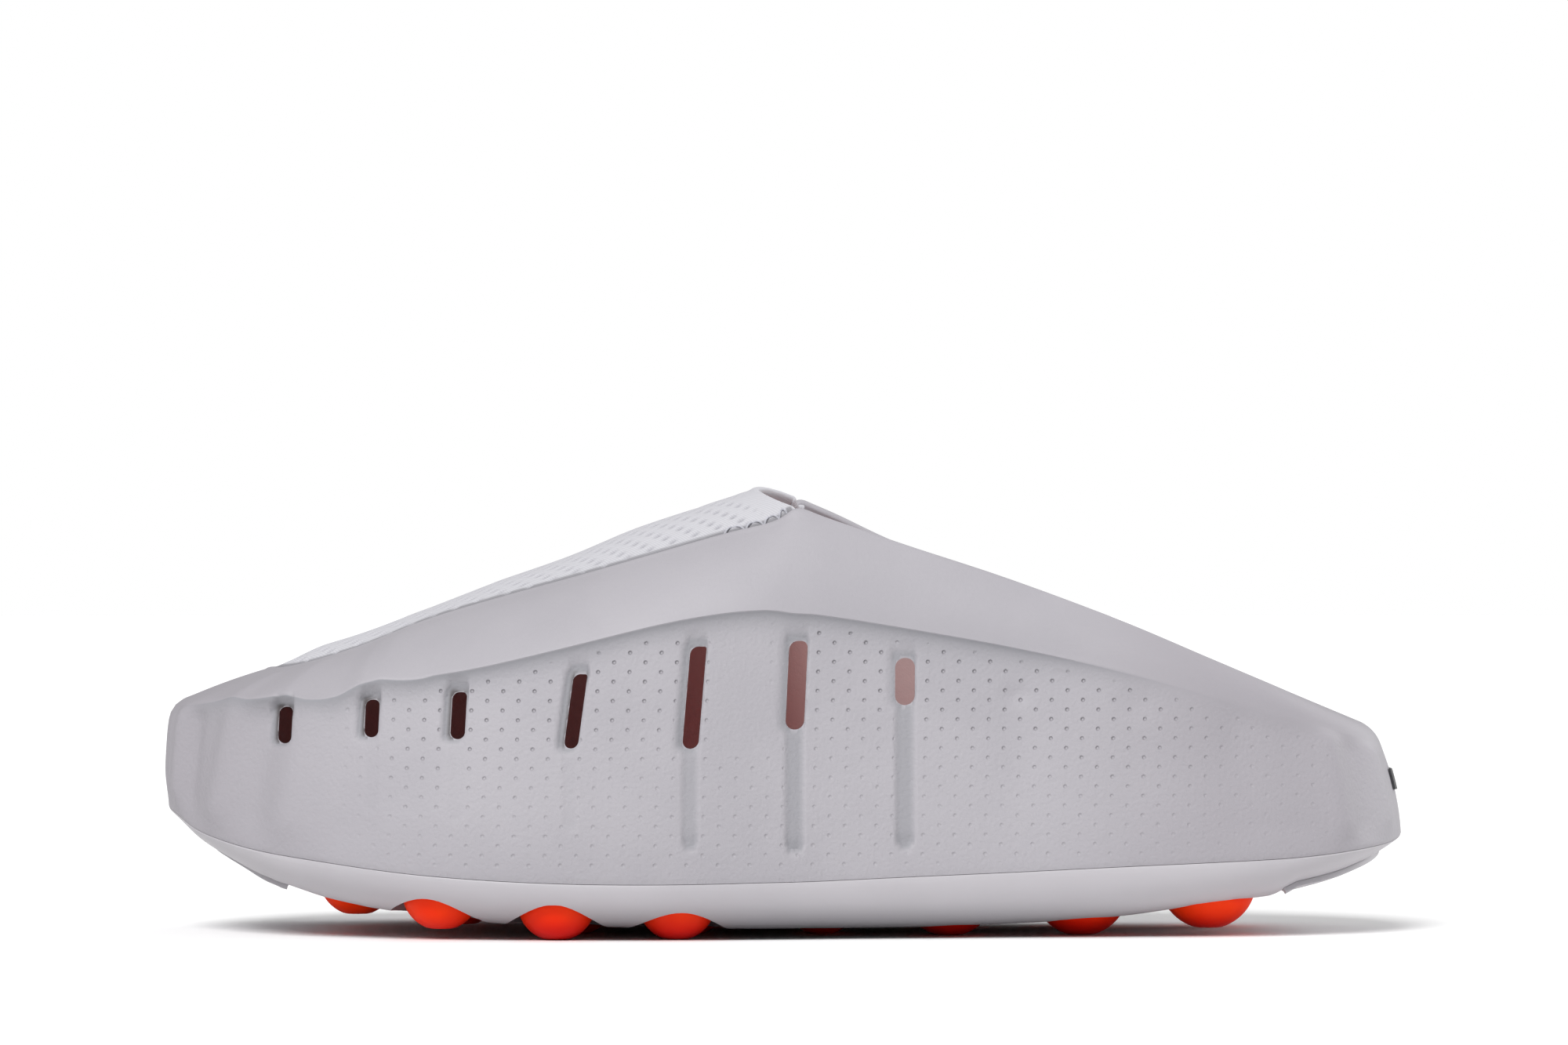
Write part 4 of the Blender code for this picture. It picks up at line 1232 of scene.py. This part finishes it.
# %% A class for shader wires
class Wire:
    """An output socket of a node tree."""

    def __init__(self, tree, socket):
        self.tree = tree
        self.socket = socket

    def node(self, kind, settings=(), inputs=(), output=0):
        made = self.tree.nodes.new(kind)
        for name, value in dict(settings).items():
            setattr(made, name, value)
        for name, value in dict(inputs).items():
            if isinstance(value, Wire):
                self.tree.links.new(value.socket, made.inputs[name])
            else:
                made.inputs[name].default_value = value
        return Wire(self.tree, made.outputs[output])

    def math(self, operation, *values):
        return self.node("ShaderNodeMath", {"operation": operation}, enumerate(values))

    def __add__(self, other):
        return self.math("ADD", self, other)

    def __sub__(self, other):
        return self.math("SUBTRACT", self, other)

    def __mul__(self, other):
        return self.math("MULTIPLY", self, other)

    def __truediv__(self, other):
        return self.math("DIVIDE", self, other)

    def __rsub__(self, other):
        return self.math("SUBTRACT", other, self)

    __radd__ = __add__
    __rmul__ = __mul__


def smooth_step(wire, low, high):
    """0 below low, 1 above high, and smooth between them."""
    settings = {"interpolation_type": "SMOOTHSTEP"}
    inputs = {"Value": wire, "From Min": low, "From Max": high}
    return wire.node("ShaderNodeMapRange", settings, inputs)


def height_of(coordinates):
    """Height over the floor."""
    return coordinates.node("ShaderNodeSeparateXYZ", {}, {"Vector": coordinates}, "Z")


def mark_wire(coordinates, name, output="Fac"):
    """A mark that is stored on the vertices."""
    return coordinates.node("ShaderNodeAttribute", {"attribute_name": name}, {}, output)


def blend_colours(wire, first, second):
    """first where the wire is 0, second where it is 1."""
    first, second = (c if isinstance(c, Wire) else (*c, 1.0) for c in (first, second))
    return wire.node("ShaderNodeMix", {"data_type": "RGBA"}, {0: wire, 6: first, 7: second}, 2)


def noise(coordinates, scale, detail=2.0, roughness=0.5):
    inputs = {"Vector": coordinates, "Scale": scale, "Detail": detail, "Roughness": roughness}
    return coordinates.node("ShaderNodeTexNoise", {"noise_dimensions": "3D"}, inputs, "Fac")


def new_finish(name, roughness, **constants):
    """Material with its shader, and the object coordinates as a wire to start from."""
    material = bpy.data.materials.new(name)
    material.use_nodes = True
    tree = material.node_tree
    shader = tree.nodes["Principled BSDF"]
    shader.inputs["Roughness"].default_value = roughness
    for socket, value in constants.items():
        shader.inputs[socket.replace("_", " ")].default_value = value
    coordinates = tree.nodes.new("ShaderNodeTexCoord")
    return material, shader, Wire(tree, coordinates.outputs["Object"])


def connect(shader, colour, height, roughness=None):
    """Sends a colour wire and a height in metres to the shader."""
    colour.tree.links.new(colour.socket, shader.inputs["Base Color"])
    bump = height.node("ShaderNodeBump", {}, {"Height": height, "Distance": 1.0, "Strength": 1.0})
    height.tree.links.new(bump.socket, shader.inputs["Normal"])
    if roughness is not None:
        roughness.tree.links.new(roughness.socket, shader.inputs["Roughness"])


def wear(thing, material):
    thing.data.materials.clear()
    thing.data.materials.append(material)


# %% [markdown]
# The cage is moulded foam. Its band is nearly smooth, and its lower panel has a pebbled
# grain and rows of small pits. The pits lie on a staggered lattice over the side of the
# shoe: the distance to the nearest lattice point, from the fractions of x and z, gives
# a round pit. The marks stored on the mesh say where they show. Shade is painted into
# the colour: darker at the toe and near the heel, in the recesses and under the ridge,
# in the scoops beside the slots and in the pits. The lining gets a painted red
# reflection of the footbed, with painted shade towards the toe and a weaker reflection
# towards the heel.

# %% Cage finish
CAGE_COLOUR = (0.374, 0.360, 0.387)
CAGE_SHADE = (0.350, 0.337, 0.364)
CAGE_ENDS_PAINTED_SHADE = (0.325, 0.309, 0.335)
RECESS_PAINTED_SHADE = (0.250, 0.252, 0.272)
SCOOP_PAINTED_SHADE = (0.065, 0.055, 0.055)
LINING_PAINTED_REFLECTION = (0.82, 0.565, 0.545)
LINING_BACK_PAINTED_REFLECTION = (0.50, 0.375, 0.37)
LINING_PAINTED_SHADE = (0.44, 0.36, 0.35)
PIT_PAINTED_SHADE = (0.22, 0.21, 0.24)
TOE_SPAN = (-0.150, -0.085)
HEEL_SPAN = (0.055, 0.105)
HEEL_TIP = (0.132, 0.146)
COLLAR_SPAN = (0.012, 0.026)
PIT_PITCH_X = 3.72 * MM
PIT_PITCH_Z = 4.55 * MM
PIT_RADIUS = 0.52 * MM
PIT_DEPTH = 0.52 * MM

foam, foam_shader, coordinates = new_finish("cage foam", 0.58, Specular_IOR_Level=0.35)
x_wire = coordinates.node("ShaderNodeSeparateXYZ", {}, {"Vector": coordinates}, "X")
z_wire = height_of(coordinates)
grain_mask = mark_wire(coordinates, "grained")
pit_mask = mark_wire(coordinates, "dimpled")

across = (x_wire - z_wire * 0.03) / PIT_PITCH_X + 0.33
cell = across.math("ROUND", across)
along = z_wire / PIT_PITCH_Z + cell.math("FLOORED_MODULO", cell, 2.0) * 0.5
off_x = (across - cell) * PIT_PITCH_X
off_z = (along - along.math("ROUND", along)) * PIT_PITCH_Z
distance = (off_x * off_x + off_z * off_z).math("SQRT", off_x * off_x + off_z * off_z)
pit = (1 - smooth_step(distance, PIT_RADIUS * 0.25, PIT_RADIUS * 1.15)) * pit_mask

pebble = noise(coordinates, 1050.0, 1.0, 0.4)
fine = noise(coordinates, 2600.0, 1.0, 0.5)
cloud = noise(coordinates, 22.0, 3.0, 0.55)
grain = pebble * (0.16 * MM) * (0.25 + grain_mask * 0.75) + fine * (0.025 * MM)
colour = blend_colours(smooth_step(cloud, 0.35, 0.65), CAGE_SHADE, CAGE_COLOUR)
# Painted shade: the cage is coloured darker at the toe and on the sides near the heel.
toe_shade = 1 - smooth_step(x_wire, *TOE_SPAN)
heel_shade = smooth_step(x_wire, *HEEL_SPAN) * (1 - smooth_step(x_wire, *HEEL_TIP))
colour = blend_colours(toe_shade + heel_shade, colour, CAGE_ENDS_PAINTED_SHADE)
# Painted shade in the recesses round the slots and under the ridge.
recess_shade_mask = mark_wire(coordinates, "recess_shade")
colour = blend_colours(recess_shade_mask, colour, RECESS_PAINTED_SHADE)
# Painted shade in the deep scoops beside the slots.
shade_mask = mark_wire(coordinates, "shaded")
colour = blend_colours(shade_mask * 0.93, colour, SCOOP_PAINTED_SHADE)
# Painted shade: the pits are coloured a little darker.
colour = blend_colours(pit * 0.12, colour, PIT_PAINTED_SHADE)
# Painted reflection and painted shade: the lower lining is coloured pink for the footbed's red
# reflection, dimmer towards the heel, darker towards the toe and up towards the rim.
lining_paint_mask = mark_wire(coordinates, "lining_reflection_and_shade")
lining = blend_colours(smooth_step(x_wire, *COLLAR_SPAN), LINING_PAINTED_REFLECTION, LINING_BACK_PAINTED_REFLECTION)
lining = blend_colours(lining_paint_mask * 2.0 - 1.0, LINING_PAINTED_SHADE, lining)
colour = blend_colours(smooth_step(lining_paint_mask, 0.1, 0.4), colour, lining)
connect(foam_shader, colour, grain - pit * PIT_DEPTH, 0.50 + grain_mask * 0.08 + cloud * 0.06)
wear(cage, foam)

# %% [markdown]
# The knit is read in the cloth's own coordinates, which were stored with its mesh, so
# the ribs bend with the cloth. Two sets of waves cross at a slant and make the small
# stitches of the knit, and a little noise keeps them from being too regular.

# %% Knit finish
KNIT_COLOUR = (0.545, 0.541, 0.572)
KNIT_SHADE = (0.485, 0.481, 0.510)
SEAM_PAINTED_SHADE = (0.200, 0.195, 0.210)
KNIT_PIT_PAINTED_SHADE = (0.250, 0.245, 0.275)
knit, knit_shader, coordinates = new_finish("knit", 0.85, Specular_IOR_Level=0.2)
cloth_wire = mark_wire(coordinates, "cloth", "Vector")
wobble = noise(cloth_wire, 260.0, 2.0)
u_wire = cloth_wire.node("ShaderNodeSeparateXYZ", {}, {"Vector": cloth_wire}, "X")
v_wire = Wire(u_wire.tree, u_wire.socket.node.outputs["Y"])
RIB = math.tau / (0.50 * MM)
slant_one = (u_wire * (0.75 * RIB) + v_wire * (0.66 * RIB) + wobble * 2.0)
slant_two = (u_wire * (0.75 * RIB) - v_wire * (1.3 * RIB) + wobble * 2.0)
rib = slant_one.math("SINE", slant_one) * 0.5 + 0.5
loop = slant_two.math("SINE", slant_two) * 0.5 + 0.5
stitch = rib * 0.65 + loop * rib * 0.35
colour = blend_colours(smooth_step(stitch, 0.0, 0.8), KNIT_SHADE, KNIT_COLOUR)
# Painted shade: the knit's dimples are coloured darker.
pit_mask = mark_wire(coordinates, "knit_pit_shade")
colour = blend_colours(pit_mask * 0.8, colour, KNIT_PIT_PAINTED_SHADE)
# Painted shade along the seam, where the knit dips under the cage's lip.
seam_shade_mask = mark_wire(coordinates, "seam_shadow")
colour = blend_colours(seam_shade_mask * 0.8, colour, SEAM_PAINTED_SHADE)
connect(knit_shader, colour, stitch * (0.018 * MM) + wobble * (0.03 * MM))
wear(vamp, knit)

THREAD_COLOUR = (0.55, 0.55, 0.60)
THREAD_SHADE = (0.42, 0.42, 0.46)
thread, thread_shader, coordinates = new_finish("thread", 0.7)
twist = noise(coordinates, 1800.0, 1.0)
connect(thread_shader, blend_colours(twist, THREAD_SHADE, THREAD_COLOUR), twist * (0.05 * MM))
wear(tacks, thread)

# %% [markdown]
# The sole is smoother and a little paler than the cage. The pads are the same colour
# in rubber with a slight gloss. The studs are bouncy orange-red foam with a soft skin,
# and the footbed is crimson foam with a fine, dull grain. Sole and studs get darker
# towards the floor, which stands in for the deep shade under a real shoe.

# %% Other finishes
SOLE_COLOUR = (0.440, 0.423, 0.448)
SOLE_SHADE = (0.415, 0.398, 0.423)
SOLE_LOW = (0.13, 0.123, 0.134)
PAD_COLOUR = (0.450, 0.433, 0.460)
PAD_SHADE = (0.420, 0.404, 0.430)
STUD_COLOUR = (1.0, 0.046, 0.001)
STUD_SHADE = (0.93, 0.030, 0.001)
STUD_LOW = (0.58, 0.004, 0.002)
BED_COLOUR = (0.60, 0.019, 0.027)
BED_SHADE = (0.52, 0.013, 0.021)
BADGE_COLOUR = (0.035, 0.035, 0.039)
BADGE_SHADE = (0.018, 0.018, 0.021)
sole_foam, sole_shader, coordinates = new_finish("sole foam", 0.45)
fine = noise(coordinates, 900.0, 2.0)
cloud = noise(coordinates, 30.0, 2.0)
colour = blend_colours(smooth_step(cloud, 0.3, 0.7), SOLE_SHADE, SOLE_COLOUR)
lit = smooth_step(height_of(coordinates), 1.0 * MM, 9.5 * MM)
colour = blend_colours(lit, SOLE_LOW, colour)
connect(sole_shader, colour, fine * (0.015 * MM), 0.40 + cloud * 0.1)
wear(sole, sole_foam)

pad_rubber, pad_shader, coordinates = new_finish("pad rubber", 0.42)
fine = noise(coordinates, 1300.0, 2.0)
colour = blend_colours(fine, PAD_SHADE, PAD_COLOUR)
connect(pad_shader, colour, fine * (0.03 * MM))
for pad in pads:
    wear(pad, pad_rubber)

stud_foam, stud_shader, coordinates = new_finish("stud foam", 0.42, Specular_IOR_Level=0.12)
fine = noise(coordinates, 1500.0, 2.0)
cloud = noise(coordinates, 90.0, 2.0)
colour = blend_colours(smooth_step(cloud, 0.3, 0.7), STUD_SHADE, STUD_COLOUR)
lit = smooth_step(height_of(coordinates), 0.5 * MM, 8.0 * MM)
colour = blend_colours(lit, STUD_LOW, colour)
connect(stud_shader, colour, fine * (0.02 * MM), 0.36 + fine * 0.14)
for stud in studs:
    wear(stud, stud_foam)

bed_foam, bed_shader, coordinates = new_finish("footbed foam", 0.8)
fine = noise(coordinates, 1100.0, 3.0)
cloud = noise(coordinates, 40.0, 2.0)
colour = blend_colours(smooth_step(cloud, 0.3, 0.7), BED_SHADE, BED_COLOUR)
connect(bed_shader, colour, fine * (0.10 * MM))
wear(footbed, bed_foam)

badge_rubber, badge_shader, coordinates = new_finish("badge rubber", 0.5)
fine = noise(coordinates, 1200.0, 2.0)
colour = blend_colours(fine, BADGE_SHADE, BADGE_COLOUR)
connect(badge_shader, colour, fine * (0.03 * MM))
wear(badge, badge_rubber)
print("finishes:", len(bpy.data.materials))

# %% [markdown]
# The studio is plain: a pale floor, a white surround, and three soft lights. The
# key light comes from above the camera, a little to the toe side. A weak one comes from
# straight above, and one from the far side of the heel. Only the camera sees the
# surround as white: for the shoe it is a dim and even light.

# %% Floor
floor_grid = bmesh.new()
bmesh.ops.create_grid(floor_grid, x_segments=1, y_segments=1, size=6.0)
floor_data = to_mesh(floor_grid, "floor")
floor = add_piece("floor", floor_data)
floor_finish, floor_shader, coordinates = new_finish("floor", 0.9)
floor_shader.inputs["Base Color"].default_value = (0.95, 0.95, 0.95, 1.0)
floor_shader.inputs["Specular IOR Level"].default_value = 0.0
wear(floor, floor_finish)

# %% Lights
world = bpy.data.worlds.new("surround")
world.use_nodes = True
BACKDROP = 1.0
AMBIENT = 0.31
nodes, links = world.node_tree.nodes, world.node_tree.links
backdrop = nodes["Background"]
ambient = nodes.new("ShaderNodeBackground")
for background, strength in ((backdrop, BACKDROP), (ambient, AMBIENT)):
    background.inputs["Color"].default_value = (1.0, 1.0, 1.0, 1.0)
    background.inputs["Strength"].default_value = strength
ray = nodes.new("ShaderNodeLightPath")
choice = nodes.new("ShaderNodeMixShader")
links.new(ray.outputs["Is Camera Ray"], choice.inputs["Fac"])
links.new(ambient.outputs["Background"], choice.inputs[1])
links.new(backdrop.outputs["Background"], choice.inputs[2])
links.new(choice.outputs["Shader"], nodes["World Output"].inputs["Surface"])
bpy.context.scene.world = world
bpy.context.scene.view_settings.view_transform = "Standard"


def add_sun(name, direction, strength, spread):
    """Soft light from far away, so that the whole floor gets the same amount."""
    lamp = bpy.data.lights.new(name, "SUN")
    lamp.energy = strength
    lamp.angle = math.radians(spread)
    thing = bpy.data.objects.new(name, lamp)
    thing.rotation_euler = Vector(direction).to_track_quat("Z", "Y").to_euler()
    bpy.context.scene.collection.objects.link(thing)


add_sun("key light", (-0.38, -1.0, 1.1), 2.88, 30.0)
add_sun("top light", (0.1, 0.1, 1.0), 0.35, 90.0)
add_sun("heel light", (1.0, 0.5, 0.4), 1.6, 60.0)
print("lamps:", len(bpy.data.lights))
